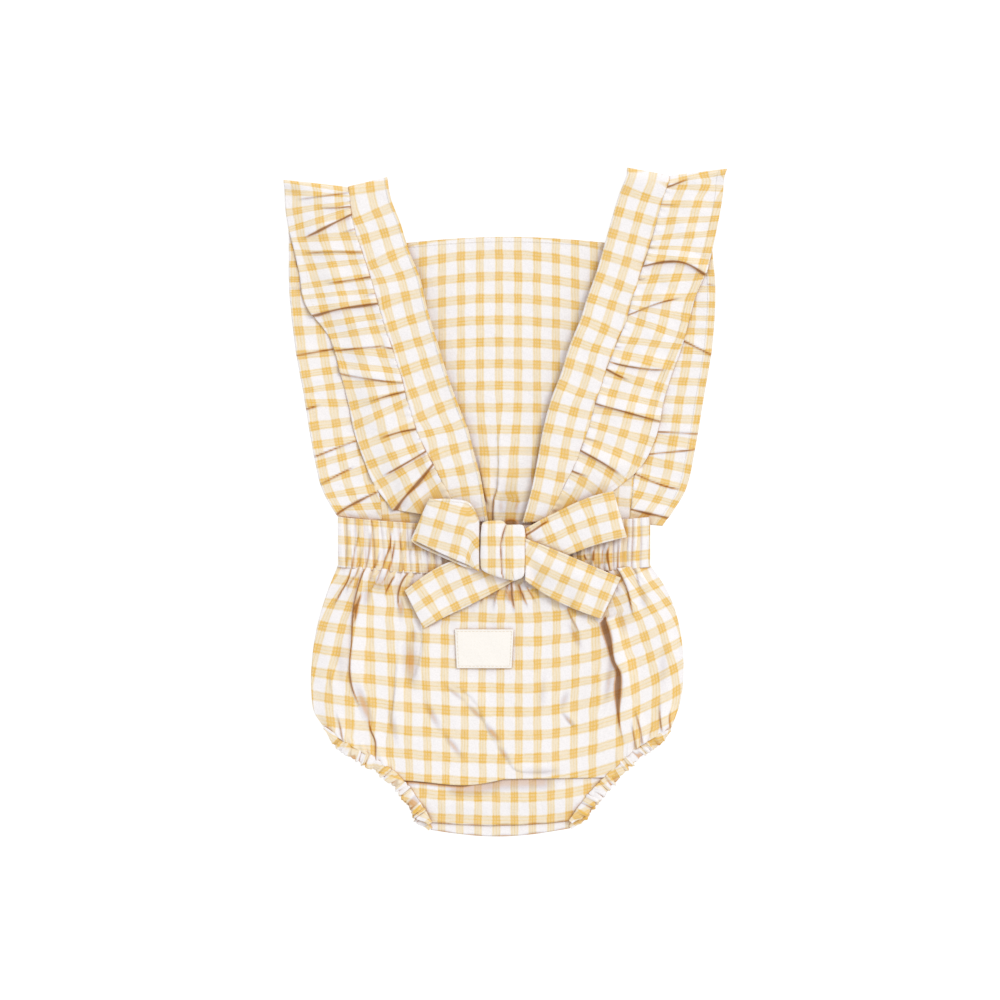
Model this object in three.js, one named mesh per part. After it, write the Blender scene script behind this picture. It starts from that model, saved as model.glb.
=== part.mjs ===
// A baby romper with ruffled straps and a bow at the back waist, laid flat with its back side up.
// Millimetres. X runs across the garment, Y up towards the shoulders and Z up from the surface it
// lies on. The origin is under the middle of the garment, on that surface.
// Every cloth piece is a closed wall round a middle surface, a function of two parameters.
import * as THREE from "three";

// Walls
const CLOTH = 1.2;
const DOUBLE_CLOTH = 1.8;
const CASING = 2.2;
const LABEL_CLOTH = 0.8;
const SEAM_GAP = 0.35;

// Heights of the layers' undersides over the surface
const FRONT_LEVEL = 0;
const STRAP_LEVEL = 5.0;
const BAND_LEVEL = 3.3;
const PANEL_LEVEL = 3.7;
const SIDE_SEAM_LEVEL = 1.7;
const CASING_LEVEL = 3.3;
const KNOT_LEVEL = 9.0;

// Waistband
const WAIST = { left: -104.5, right: 92, top: -10, height: 29.5, sag: 5.5 };
const BAND_GATHERS = { pitch: 7, depth: 1.3 };
const FRONT_BAND_GATHERS = { pitch: 12, depth: 0.6 };

// Gathers below the waistband and above the leg casings
const WAIST_GATHERS = { pitch: 11, depth: 1.5, reach: 0.34 };
const LEG_GATHERS = { pitch: 13, depth: 1.2, reach: 0.16 };
const CASING_GATHERS = { pitch: 7.5, depth: 0.9 };
const CASING_WIDTH = 6;
const SIDE_ROLL = 12;

// Sections across the strap and its ruffle, from the front waist to the shoulder: the strap's inner
// edge, the seam between strap and ruffle, and the ruffle's rim.
const LEFT_FRONT_SECTIONS = [
  { inner: [-50.5, -13.6], seam: [-77, -12], rim: [-105, -8.5] },
  { inner: [-52.5, 8], seam: [-79, 8], rim: [-114.5, 8] },
  { inner: [-55, 36.5], seam: [-82, 36.5], rim: [-121, 35.5] },
  { inner: [-58.5, 68], seam: [-85.5, 68], rim: [-126, 66] },
  { inner: [-62.5, 99.5], seam: [-89.5, 99.5], rim: [-131.5, 96.5] },
  { inner: [-66, 134], seam: [-93, 134], rim: [-135.5, 134] },
  { inner: [-70, 172], seam: [-96.5, 170.5], rim: [-138.5, 170.5] },
  { inner: [-73, 201], seam: [-97.5, 195.5], rim: [-140, 199.5] },
];
const LEFT_SHOULDER = { inner: [-73.5, 205], seam: [-98, 199], rim: [-139, 203.5] };
const LEFT_BACK_SECTIONS = [
  { inner: [-73, 201], seam: [-97.5, 195.5], rim: [-138.5, 199.5] },
  { inner: [-71, 191], seam: [-97, 187.5], rim: [-138, 187] },
  { inner: [-65.5, 177], seam: [-95, 175], rim: [-136, 173] },
  { inner: [-60, 159.5], seam: [-89.5, 157.5], rim: [-132.5, 159.5] },
  { inner: [-53, 142], seam: [-84.5, 142], rim: [-129, 143.5] },
  { inner: [-48.5, 123], seam: [-79.5, 125.5], rim: [-126, 126.5] },
  { inner: [-42, 101.5], seam: [-72.5, 102.5], rim: [-110, 104] },
  { inner: [-35.5, 80.5], seam: [-66, 82.5], rim: [-103.5, 82.5] },
  { inner: [-27.5, 58.5], seam: [-60, 61.5], rim: [-98, 61.5] },
  { inner: [-22.5, 46], seam: [-55.5, 46], rim: [-94.5, 44.5] },
  { inner: [-18.5, 30], seam: [-50, 33.5], rim: [-89, 28.5] },
  { inner: [-15, 17.5], seam: [-43, 21], rim: [-82, 11.5] },
  { inner: [-10, -12], seam: [-26.5, -11.5], rim: [-70.5, -4] },
];
const RIGHT_FRONT_SECTIONS = [
  { inner: [52.5, -13], seam: [79.5, -6.8], rim: [102, -11.5] },
  { inner: [54, 8], seam: [81.5, 8], rim: [114.5, 8] },
  { inner: [57.5, 36.5], seam: [84.5, 36.5], rim: [121, 36.5] },
  { inner: [61, 68], seam: [88, 68], rim: [126, 66] },
  { inner: [65, 99.5], seam: [92, 99.5], rim: [131.5, 99.5] },
  { inner: [68.5, 134], seam: [96, 134], rim: [133.5, 134] },
  { inner: [74.5, 172], seam: [101, 170.5], rim: [135, 169] },
  { inner: [77.5, 207.5], seam: [104, 202], rim: [140.5, 204] },
];
const RIGHT_SHOULDER = { inner: [77.5, 211], seam: [104, 206], rim: [140.5, 210.5] };
const RIGHT_BACK_SECTIONS = [
  { inner: [77.5, 207.5], seam: [104, 202], rim: [139, 206] },
  { inner: [72, 193], seam: [100, 191], rim: [138, 194] },
  { inner: [65, 169], seam: [94, 168], rim: [133, 167] },
  { inner: [59, 148], seam: [87.5, 148], rim: [126.5, 148] },
  { inner: [53, 131], seam: [81.5, 130.5], rim: [121, 130.5] },
  { inner: [48, 115.5], seam: [77, 114], rim: [117, 115.5] },
  { inner: [41.5, 99.5], seam: [70.5, 98.5], rim: [112, 97.5] },
  { inner: [35.5, 80.5], seam: [63.5, 80.5], rim: [106, 81.5] },
  { inner: [29.5, 65], seam: [58.5, 65], rim: [101, 65] },
  { inner: [24.5, 46], seam: [52.5, 44.5], rim: [96, 42] },
  { inner: [21, 27], seam: [46, 27], rim: [87, 23.5] },
  { inner: [17.5, 9.5], seam: [37, 8], rim: [72, 10] },
  { inner: [11.5, -12.5], seam: [26.5, -11.5], rim: [51.5, -3] },
];

// Folds of the ruffles: where each crest meets the seam and the rim (Y), its height, and how far
// it takes to rise on the shoulder's side and to drop on the waist's side.
const LEFT_BACK_FOLDS = [
  { seam: 183, rim: 186, height: 2.6, rise: 9, drop: 6 },
  { seam: 168, rim: 168, height: 3.0, rise: 9, drop: 5 },
  { seam: 151, rim: 152, height: 3.2, rise: 11, drop: 5 },
  { seam: 136, rim: 134, height: 2.6, rise: 9, drop: 5 },
  { seam: 119, rim: 116, height: 3.4, rise: 11, drop: 5 },
  { seam: 100, rim: 101, height: 2.8, rise: 11, drop: 6 },
  { seam: 76, rim: 80, height: 3.2, rise: 12, drop: 5 },
  { seam: 63, rim: 60, height: 2.6, rise: 9, drop: 5 },
  { seam: 42, rim: 42, height: 3.0, rise: 10, drop: 5 },
  { seam: 30, rim: 24, height: 2.6, rise: 9, drop: 5 },
];
const RIGHT_BACK_FOLDS = [
  { seam: 191, rim: 200, height: 2.6, rise: 9, drop: 5 },
  { seam: 170, rim: 176, height: 3.0, rise: 10, drop: 6 },
  { seam: 146, rim: 147, height: 3.4, rise: 12, drop: 5 },
  { seam: 134, rim: 134, height: 2.4, rise: 9, drop: 5 },
  { seam: 116, rim: 121, height: 3.0, rise: 10, drop: 5 },
  { seam: 90, rim: 88, height: 3.2, rise: 12, drop: 5 },
  { seam: 80, rim: 74, height: 2.4, rise: 8, drop: 5 },
  { seam: 61, rim: 54, height: 3.2, rise: 12, drop: 5 },
  { seam: 40, rim: 38, height: 2.6, rise: 9, drop: 5 },
  { seam: 30, rim: 24, height: 2.8, rise: 10, drop: 5 },
];
const LEFT_FRONT_FOLDS = [
  { seam: 178, rim: 176, height: 2.2, rise: 9, drop: 6 },
  { seam: 156, rim: 158, height: 2.6, rise: 9, drop: 6 },
  { seam: 133, rim: 136, height: 2.4, rise: 9, drop: 6 },
  { seam: 112, rim: 110, height: 2.4, rise: 9, drop: 6 },
  { seam: 98, rim: 93, height: 2.8, rise: 11, drop: 5 },
  { seam: 78, rim: 74, height: 2.4, rise: 9, drop: 6 },
  { seam: 62, rim: 57, height: 2.6, rise: 9, drop: 5 },
  { seam: 40, rim: 29, height: 2.8, rise: 10, drop: 5 },
  { seam: 20, rim: 10, height: 2.4, rise: 9, drop: 5 },
  { seam: 3, rim: -4, height: 2.2, rise: 7, drop: 5 },
];
const RIGHT_FRONT_FOLDS = [
  { seam: 184, rim: 190, height: 2.2, rise: 9, drop: 6 },
  { seam: 160, rim: 163, height: 2.6, rise: 9, drop: 6 },
  { seam: 139, rim: 138, height: 2.4, rise: 9, drop: 6 },
  { seam: 116, rim: 114, height: 2.4, rise: 9, drop: 6 },
  { seam: 101, rim: 95, height: 2.8, rise: 11, drop: 5 },
  { seam: 76, rim: 72, height: 2.4, rise: 9, drop: 6 },
  { seam: 45, rim: 43, height: 2.8, rise: 10, drop: 5 },
  { seam: 31, rim: 33, height: 2.4, rise: 9, drop: 5 },
  { seam: 17, rim: 9, height: 2.6, rise: 9, drop: 5 },
  { seam: 2, rim: -7, height: 2.2, rise: 7, drop: 5 },
];
const PUCKER_REACH = 0.3;

// Bib
const BIB_TOP = { ends: 163.5, crown: 4.5 };
const BIB_SIDE_GAP = 0.9;
const BIB_FOLDS = [
  { from: [-26, 58], by: [-15, 28], to: [-12.5, -14], height: 2.0, width: 6 },
  { from: [-9, 72], by: [-6, 30], to: [-5, -14], height: 2.2, width: 6 },
  { from: [6, 66], by: [4, 26], to: [6, -14], height: 1.8, width: 5.5 },
  { from: [22, 50], by: [17, 22], to: [17, -14], height: 1.8, width: 6 },
  { from: [-40, 30], by: [-37, 10], to: [-36, -14], height: 1.6, width: 7 },
  { from: [38, 30], by: [35, 10], to: [35, -14], height: 1.6, width: 7 },
];

// Bloomers
const LEFT_SIDE = [
  [-104.5, -41], [-111, -55], [-116, -70.5], [-119.5, -86.5],
  [-121.5, -105], [-121, -118], [-118.5, -131.5], [-111, -142],
];
const RIGHT_SIDE = [
  [92, -41], [101, -52], [107, -65], [111, -80],
  [113, -96], [113, -111.5], [111, -126], [105, -143],
];
const LEFT_LEG = [[-111, -142], [-94, -154.5], [-79, -163], [-64.5, -175], [-55, -187], [-46, -198]];
const RIGHT_LEG = [[105, -143], [90.5, -150], [78, -159], [64.5, -173], [53, -185], [41.5, -198]];
const CROTCH_SEAM = { share: 0.6, dip: 3 };
const CROTCH_HEM = { back: 5.5, front: 7, overlap: 6 };
const BACK_FOLDS = [
  { from: [-95, -42], by: [-102, -57], to: [-110, -70], height: 1.5, width: 6 },
  { from: [-82, -43], by: [-90, -77], to: [-89, -146], height: 3.2, width: 8 },
  { from: [-70, -40], by: [-76, -62], to: [-81, -118], height: 2.0, width: 7 },
  { from: [-58, -45], by: [-59, -86], to: [-71, -155], height: 2.4, width: 8 },
  { from: [-43, -61], by: [-46, -112], to: [-51, -168], height: 1.5, width: 8 },
  { from: [-37, -111], by: [-16, -131], to: [1, -160], height: 1.8, width: 8 },
  { from: [55, -75], by: [62, -99], to: [64, -132], height: 3.0, width: 8 },
  { from: [71, -48], by: [79, -93], to: [82, -154], height: 3.2, width: 8 },
  { from: [82, -45], by: [92, -87], to: [99, -146], height: 2.0, width: 7 },
  { from: [39, -64], by: [45, -86], to: [43, -143], height: 1.6, width: 8 },
  { from: [1, -157], by: [16, -167], to: [37, -164], height: 1.4, width: 6 },
  { from: [23, -61], by: [28, -112], to: [26, -152], height: 1.0, width: 9 },
];
const FRONT_FOLDS = [
  { from: [-84, -43], by: [-92, -84], to: [-90, -138], height: 1.8, width: 8 },
  { from: [-62, -45], by: [-66, -88], to: [-74, -140], height: 1.5, width: 8 },
  { from: [-34, -45], by: [-38, -90], to: [-46, -160], height: 1.4, width: 8 },
  { from: [-6, -45], by: [-4, -84], to: [-8, -150], height: 1.2, width: 8 },
  { from: [22, -45], by: [26, -92], to: [30, -158], height: 1.4, width: 8 },
  { from: [50, -45], by: [58, -90], to: [62, -140], height: 1.6, width: 8 },
  { from: [72, -45], by: [82, -88], to: [84, -136], height: 1.8, width: 8 },
];

// Bow: sections from the knot outwards, with the height of the underside of the strip.
const LEFT_LOOP_LOWER = [
  { top: [-15.5, -12.5], low: [-15.5, -41.5], level: 9.2 },
  { top: [-21.5, -1], low: [-22.5, -38], level: 9.2 },
  { top: [-34, 1.8], low: [-36, -32.2], level: 8.8 },
  { top: [-44.5, 2], low: [-55.5, -23.5], level: 8.4 },
];
const LEFT_LOOP_END = { top: [-46.8, 3], low: [-58.5, -23.5], level: 10.6 };
const LEFT_LOOP_UPPER = [
  { top: [-44.5, 2.6], low: [-55.5, -24], level: 12.6 },
  { top: [-34, 2.6], low: [-36, -33.2], level: 13.4 },
  { top: [-21.5, 0], low: [-22.5, -39], level: 12.8 },
  { top: [-15.5, -11], low: [-15.5, -43], level: 11.8 },
];
const RIGHT_LOOP_LOWER = [
  { top: [13.2, -17], low: [13.2, -40], level: 7.6 },
  { top: [26, -10], low: [28, -36.5], level: 7.6 },
  { top: [52, 2.5], low: [55.5, -26.5], level: 7.6 },
  { top: [65.5, 6.5], low: [73.5, -21.8], level: 7.6 },
];
const RIGHT_LOOP_END = { top: [68.5, 7.5], low: [77, -21.5], level: 9.4 };
const RIGHT_LOOP_UPPER = [
  { top: [65.5, 7], low: [73.5, -22.2], level: 11.2 },
  { top: [52, 3.2], low: [55.5, -27], level: 11.4 },
  { top: [26, -9], low: [28, -37.5], level: 11 },
  { top: [13.2, -16], low: [13.2, -42], level: 10.4 },
];
const LEFT_TAIL = [
  { top: [-2.5, -28.5], low: [7, -48.5], level: 7.4 },
  { top: [-21.5, -33.5], low: [-6, -56], level: 7.4 },
  { top: [-37, -38], low: [-24, -65.5], level: 7.4 },
  { top: [-50, -45.5], low: [-38, -72], level: 7.8 },
  { top: [-62.5, -55], low: [-50.5, -79], level: 7.4 },
];
const RIGHT_TAIL = [
  { top: [13.2, -22], low: [13.2, -48.5], level: 13.2 },
  { top: [26, -27], low: [26, -57.5], level: 13.2 },
  { top: [38.5, -32], low: [37, -63.5], level: 13.0 },
  { top: [58, -40.5], low: [49, -68.5], level: 10 },
  { top: [73.5, -47], low: [61, -73], level: 8.2 },
];
const LOOP_BUCKLE = 0.8;
const KNOT = { x: -1.2, y: -29, halfWidth: 13.2, halfHeight: 17.5, rise: 7.2, crease: 1.4, lean: 0.12 };
const LABEL = { left: -31, right: 6, top: -79.5, low: -104, fold: 0.4 };

// Sampling, in millimetres between stations or cells across
const STRAP_STEP = 12;
const RUFFLE_STEP = 5;
const NORMAL_STEP = 0.002;

const CHECK_CLOTH = "#f6e3bf";
const LABEL_COLOUR = "#f7f0e4";

const clamp01 = (value) => Math.min(1, Math.max(0, value));
const mix = (a, b, share) => a + (b - a) * share;
const smooth = (value) => {
  const x = clamp01(value);
  return x * x * (3 - 2 * x);
};
const bump = (distance) => 0.5 + 0.5 * Math.cos(Math.PI * Math.min(1, Math.abs(distance)));
const range = (count) => Array.from({ length: count + 1 }, (_, index) => index / count);
const at = ([x, y], z = 0) => new THREE.Vector3(x, y, z);
const smoothCurve = (points) => new THREE.CatmullRomCurve3(points, false, "centripetal");
const atShare = (curve, share) => curve.getPoint(clamp01(share));

const garment = new THREE.Group();

// A closed wall round a middle surface: each of its two faces lies half the wall away along the
// surface's own normal, none of it lies below the floor, and rims close the four edges.
function addWall(name, us, vs, middle, wall, colour = CHECK_CLOTH) {
  const columns = vs.length;
  const faceSize = us.length * columns;
  const positions = new Float32Array(faceSize * 6);
  us.forEach((u, i) => {
    vs.forEach((v, j) => {
      const along = middle(u + NORMAL_STEP, v).sub(middle(u - NORMAL_STEP, v));
      const across = middle(u, v + NORMAL_STEP).sub(middle(u, v - NORMAL_STEP));
      const offset = along.cross(across).setLength(wall / 2);
      const point = middle(u, v);
      [point.clone().sub(offset), point.clone().add(offset)].forEach((corner, face) => {
        corner.z = Math.max(FRONT_LEVEL, corner.z);
        corner.toArray(positions, (face * faceSize + i * columns + j) * 3);
      });
    });
  });

  const index = [];
  const quad = (a, b, c, d) => index.push(a, b, c, a, c, d);
  const under = (i, j) => i * columns + j;
  const over = (i, j) => faceSize + under(i, j);
  const lastRow = us.length - 1;
  const lastColumn = columns - 1;
  for (let i = 0; i < lastRow; i += 1) {
    for (let j = 0; j < lastColumn; j += 1) {
      quad(over(i, j), over(i + 1, j), over(i + 1, j + 1), over(i, j + 1));
      index.push(under(i, j), under(i + 1, j + 1), under(i + 1, j));
      index.push(under(i, j), under(i, j + 1), under(i + 1, j + 1));
    }
    quad(under(i, 0), under(i + 1, 0), over(i + 1, 0), over(i, 0));
    quad(under(i + 1, lastColumn), under(i, lastColumn), over(i, lastColumn), over(i + 1, lastColumn));
  }
  for (let j = 0; j < lastColumn; j += 1) {
    quad(under(0, j + 1), under(0, j), over(0, j), over(0, j + 1));
    quad(under(lastRow, j), under(lastRow, j + 1), over(lastRow, j + 1), over(lastRow, j));
  }

  const geometry = new THREE.BufferGeometry();
  geometry.setAttribute("position", new THREE.BufferAttribute(positions, 3));
  geometry.setIndex(index);
  geometry.computeVertexNormals();
  const material = new THREE.MeshStandardMaterial({ color: colour, roughness: 0.9, metalness: 0 });
  const mesh = new THREE.Mesh(geometry, material);
  mesh.name = name;
  garment.add(mesh);
}

// Height of the highest fold at a point: each fold runs along a curve through three places, has a
// cosine section and fades out towards both ends.
function foldHeight(folds, x, y) {
  let highest = 0;
  for (const { from, by, to, height, width } of folds) {
    for (const [start, end, startShare] of [[from, by, 0], [by, to, 0.5]]) {
      const run = [end[0] - start[0], end[1] - start[1]];
      const length2 = run[0] ** 2 + run[1] ** 2;
      const share = clamp01(((x - start[0]) * run[0] + (y - start[1]) * run[1]) / length2);
      const distance = Math.hypot(x - start[0] - share * run[0], y - start[1] - share * run[1]);
      const along = startShare + share / 2;
      const fade = smooth(along * 5 + 0.35) * smooth((1 - along) * 5 + 0.1);
      highest = Math.max(highest, height * fade * bump(distance / width));
    }
  }
  return highest;
}

// Uneven gathers along a seam: a cosine wave whose pitch and depth wander.
function gathers(distance, { pitch, depth }) {
  const phase = distance / pitch + 0.16 * Math.sin(distance / pitch * 1.7);
  return depth * (0.5 - 0.5 * Math.cos(2 * Math.PI * phase)) * (0.75 + 0.25 * Math.sin(phase * 2.3));
}

// Straps and ruffles

// Shares of a rail's length in sections that put a station about every `step` millimetres.
function stations(rail, step) {
  const shares = [0];
  const count = rail.points.length - 1;
  for (let k = 0; k < count; k += 1) {
    const pieces = Math.max(1, Math.round(rail.points[k].distanceTo(rail.points[k + 1]) / step));
    for (let part = 1; part <= pieces; part += 1) shares.push((k + part / pieces) / count);
  }
  return shares;
}

// One rail of a strip that runs up the front, over the shoulder fold and down the back.
function shoulderRail(front, shoulder, back, column, wall) {
  const low = FRONT_LEVEL + wall / 2;
  const high = STRAP_LEVEL + wall / 2;
  return smoothCurve([
    ...front.map((section) => at(section[column], low)),
    at(shoulder[column], (low + high) / 2),
    ...back.map((section) => at(section[column], high)),
  ]);
}

// A fold of the ruffle rises slowly from the shoulder's side and drops quickly on the waist's side,
// so the folds lap downwards like tiles.
function ruffleWave(folds, across, y) {
  let highest = 0;
  for (const { seam, rim, height, rise, drop } of folds) {
    const offset = y - mix(seam, rim, across);
    highest = Math.max(highest, height * bump(offset < 0 ? offset / drop : offset / rise));
  }
  return highest;
}

function addShoulderStrip(side, front, shoulder, back, frontFolds, backFolds) {
  const inner = shoulderRail(front, shoulder, back, "inner", DOUBLE_CLOTH);
  const strapSeam = shoulderRail(front, shoulder, back, "seam", DOUBLE_CLOTH);
  addWall(
    "strap_" + side,
    stations(inner, STRAP_STEP),
    [0, 0.5, 1],
    (u, v) => atShare(inner, u).lerp(atShare(strapSeam, u), v),
    DOUBLE_CLOTH,
  );

  const seam = shoulderRail(front, shoulder, back, "seam", CLOTH);
  const rim = shoulderRail(front, shoulder, back, "rim", CLOTH);
  const fold = front.length / (front.length + back.length);
  const middle = (u, v) => {
    const a = atShare(seam, u);
    const b = atShare(rim, u);
    const gap = (SEAM_GAP / a.distanceTo(b)) * (1 - v);
    const point = a.lerp(b, v + gap);
    const folds = u < fold ? frontFolds : backFolds;
    const calm = smooth(Math.abs(u - fold) * 22 - 0.8);
    point.z += ruffleWave(folds, v, point.y) * smooth(v / PUCKER_REACH) * calm;
    return point;
  };
  addWall("ruffle_" + side, stations(rim, RUFFLE_STEP), [0, 0.22, 0.5, 0.78, 1], middle, CLOTH);
}

addShoulderStrip(
  "left", LEFT_FRONT_SECTIONS, LEFT_SHOULDER, LEFT_BACK_SECTIONS, LEFT_FRONT_FOLDS, LEFT_BACK_FOLDS,
);
addShoulderStrip(
  "right", RIGHT_FRONT_SECTIONS, RIGHT_SHOULDER, RIGHT_BACK_SECTIONS, RIGHT_FRONT_FOLDS, RIGHT_BACK_FOLDS,
);

// Waistband

const waistShare = (x) => clamp01((x - WAIST.left) / (WAIST.right - WAIST.left));
const bandTop = (x) => WAIST.top - WAIST.sag * Math.sin(Math.PI * waistShare(x));

// How far a point has come in from the nearer end of the waist, 0 at the side seam and 1 inside.
const awayFromSide = (x) => smooth(Math.min(x - WAIST.left, WAIST.right - x) / SIDE_ROLL);

function addWaistband(name, level, endLevel, waves, cells) {
  const middle = (u, v) => {
    const x = mix(WAIST.left, WAIST.right, u);
    const inside = awayFromSide(x);
    const wave = gathers(x - WAIST.left, waves) * (0.35 + 0.65 * inside);
    return new THREE.Vector3(
      x,
      bandTop(x) - v * WAIST.height,
      mix(endLevel, level, inside) + DOUBLE_CLOTH / 2 + wave * (0.6 + 0.4 * Math.sin(Math.PI * v)),
    );
  };
  addWall(name, range(cells), [0, 0.5, 1], middle, DOUBLE_CLOTH);
}

addWaistband("waistband_front", FRONT_LEVEL, FRONT_LEVEL, FRONT_BAND_GATHERS, 48);
addWaistband("waistband_back", BAND_LEVEL, BAND_LEVEL - 0.7, BAND_GATHERS, 112);

// Bib: from the front straps' inner edges, with a slightly crowned top edge, down to the waistband.
{
  const sideAt = (sections, y) => {
    const k = Math.max(0, sections.findIndex((section) => section.inner[1] >= y) - 1);
    const [low, high] = [sections[k].inner, sections[k + 1].inner];
    return mix(low[0], high[0], (y - low[1]) / (high[1] - low[1]));
  };
  const middle = (u, v) => {
    const crown = BIB_TOP.crown * Math.sin(Math.PI * clamp01(u));
    const lowEdge = bandTop(mix(-50, 52, u)) + SEAM_GAP;
    const y = mix(BIB_TOP.ends + crown, lowEdge, v);
    const left = sideAt(LEFT_FRONT_SECTIONS, y) + BIB_SIDE_GAP;
    const right = sideAt(RIGHT_FRONT_SECTIONS, y) - BIB_SIDE_GAP;
    const x = mix(left, right, u);
    return new THREE.Vector3(x, y, FRONT_LEVEL + CLOTH / 2 + foldHeight(BIB_FOLDS, x, y));
  };
  addWall("bib", range(28), [0, 0.17, 0.34, 0.52, 0.65, 0.78, 0.9, 1], middle, CLOTH);
}

// Bloomers

const leftSide = smoothCurve(LEFT_SIDE.map((point) => at(point)));
const rightSide = smoothCurve(RIGHT_SIDE.map((point) => at(point)));
const leftLeg = smoothCurve(LEFT_LEG.map((point) => at(point)));
const rightLeg = smoothCurve(RIGHT_LEG.map((point) => at(point)));
const LEG_SHARE = 0.29;

const bandLow = (x) => bandTop(x) - WAIST.height - SEAM_GAP;
const waistEdge = (u) => {
  const x = mix(WAIST.left, WAIST.right, u);
  return new THREE.Vector3(x, bandLow(x), 0);
};

// The seam between a bloomer panel and the crotch piece, from leg to leg.
function crotchSeam(share) {
  const left = atShare(leftLeg, CROTCH_SEAM.share);
  const right = atShare(rightLeg, CROTCH_SEAM.share);
  const point = left.lerp(right, share);
  point.y -= CROTCH_SEAM.dip * Math.sin(Math.PI * clamp01(share)) * Math.sin(Math.PI * clamp01(share * 2));
  return point;
}

// The panel's lower edge: down the left leg, along the crotch seam and up the right leg.
function lowerEdge(u) {
  const share = CROTCH_SEAM.share / LEG_SHARE;
  if (u < LEG_SHARE) return atShare(leftLeg, u * share);
  if (u > 1 - LEG_SHARE) return atShare(rightLeg, (1 - u) * share);
  return crotchSeam((u - LEG_SHARE) / (1 - 2 * LEG_SHARE));
}

// A blend of the panel's four edges.
function panelPoint(u, v) {
  const [top, low] = [waistEdge(u), lowerEdge(u)];
  const point = top.clone().lerp(low, v);
  const straightLeft = waistEdge(0).lerp(lowerEdge(0), v);
  const straightRight = waistEdge(1).lerp(lowerEdge(1), v);
  point.addScaledVector(atShare(leftSide, v).sub(straightLeft), 1 - clamp01(u));
  point.addScaledVector(atShare(rightSide, v).sub(straightRight), clamp01(u));
  return point;
}

function panelGathers(u, v) {
  const width = WAIST.right - WAIST.left;
  const fromWaist = gathers(u * width + 3, WAIST_GATHERS) * smooth(1 - v / WAIST_GATHERS.reach);
  const legs = smooth((Math.abs(u - 0.5) - 0.5 + LEG_SHARE) * 12);
  const fromLeg = gathers(u * width * 1.06, LEG_GATHERS) * smooth(1 - (1 - v) / LEG_GATHERS.reach) * legs;
  return Math.max(fromWaist, fromLeg);
}

function panelMiddle(u, v, level, sideLevel, folds, gatherShare) {
  const point = panelPoint(u, v);
  const width = atShare(leftSide, v).distanceTo(atShare(rightSide, v));
  const inside = smooth((Math.min(u, 1 - u) * width) / SIDE_ROLL);
  const relief = Math.max(foldHeight(folds, point.x, point.y), gatherShare * panelGathers(u, v));
  point.z = mix(sideLevel, level, inside) + CLOTH / 2 + relief * inside;
  return point;
}

const backMiddle = (u, v) => panelMiddle(u, v, PANEL_LEVEL, SIDE_SEAM_LEVEL, BACK_FOLDS, 1);
const frontMiddle = (u, v) => panelMiddle(u, v, FRONT_LEVEL, FRONT_LEVEL, FRONT_FOLDS, 0.8);
const DOWN_BACK = [0, 0.07, 0.15, 0.24, 0.34, 0.45, 0.56, 0.67, 0.78, 0.87, 0.94, 1];
const DOWN_FRONT = [0, 0.1, 0.22, 0.38, 0.56, 0.74, 0.9, 1];
addWall("bloomer_front", range(36), DOWN_FRONT, frontMiddle, CLOTH);
addWall("bloomer_back", range(64), DOWN_BACK, backMiddle, CLOTH);

// Crotch pieces: between the legs' lower stretches, with a bowed hem.
function addCrotch(name, level, seamLevel, hemBow, overlap) {
  const middle = (u, v) => {
    const share = mix(CROTCH_SEAM.share, 1, v);
    const left = atShare(leftLeg, share);
    const right = atShare(rightLeg, share);
    left.y -= overlap * v;
    right.y -= overlap * v;
    const point = left.lerp(right, u);
    const seamDip = crotchSeam(u).y - mix(crotchSeam(0).y, crotchSeam(1).y, u);
    point.y += mix(seamDip - SEAM_GAP, -hemBow * Math.sin(Math.PI * clamp01(u)), v);
    point.z = mix(seamLevel, level, smooth(v * 1.6)) + CLOTH / 2;
    return point;
  };
  addWall(name, range(18), range(5), middle, CLOTH);
}

addCrotch("crotch_front", FRONT_LEVEL, FRONT_LEVEL, CROTCH_HEM.front, CROTCH_HEM.overlap);
addCrotch("crotch_back", SIDE_SEAM_LEVEL + 0.4, PANEL_LEVEL, CROTCH_HEM.back, 0);

// Leg casings: a gathered channel on the outer side of the leg's edge.
function addCasing(name, leg, outward, level, overlap, cells) {
  const edge = (u, v) => {
    const point = atShare(leg, u);
    const run = atShare(leg, Math.min(1, u + 0.01)).sub(atShare(leg, Math.max(0, u - 0.01)));
    const away = new THREE.Vector3(run.y, -run.x, 0).setLength(outward);
    const width = SEAM_GAP + v * CASING_WIDTH;
    point.addScaledVector(away, width);
    point.y -= overlap * clamp01((u - CROTCH_SEAM.share) / (1 - CROTCH_SEAM.share));
    return point;
  };
  const middle = (u, v) => {
    const point = edge(u, v);
    const wave = gathers(u * leg.getLength(), CASING_GATHERS) * smooth(u * 14) * smooth((1 - u) * 14);
    point.z = level + CASING / 2 + wave * (0.5 + 0.5 * v);
    point.addScaledVector(edge(u, 1).sub(edge(u, 0)), 0.12 * v * (wave / CASING_GATHERS.depth - 0.5));
    return point;
  };
  addWall(name, range(cells), [0, 0.5, 1], middle, CASING);
}

addCasing("leg_casing_left_front", leftLeg, 1, FRONT_LEVEL, CROTCH_HEM.overlap, 24);
addCasing("leg_casing_left_back", leftLeg, 1, CASING_LEVEL, 0, 38);
addCasing("leg_casing_right_front", rightLeg, -1, FRONT_LEVEL, CROTCH_HEM.overlap, 24);
addCasing("leg_casing_right_back", rightLeg, -1, CASING_LEVEL, 0, 38);

// Bow

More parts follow.
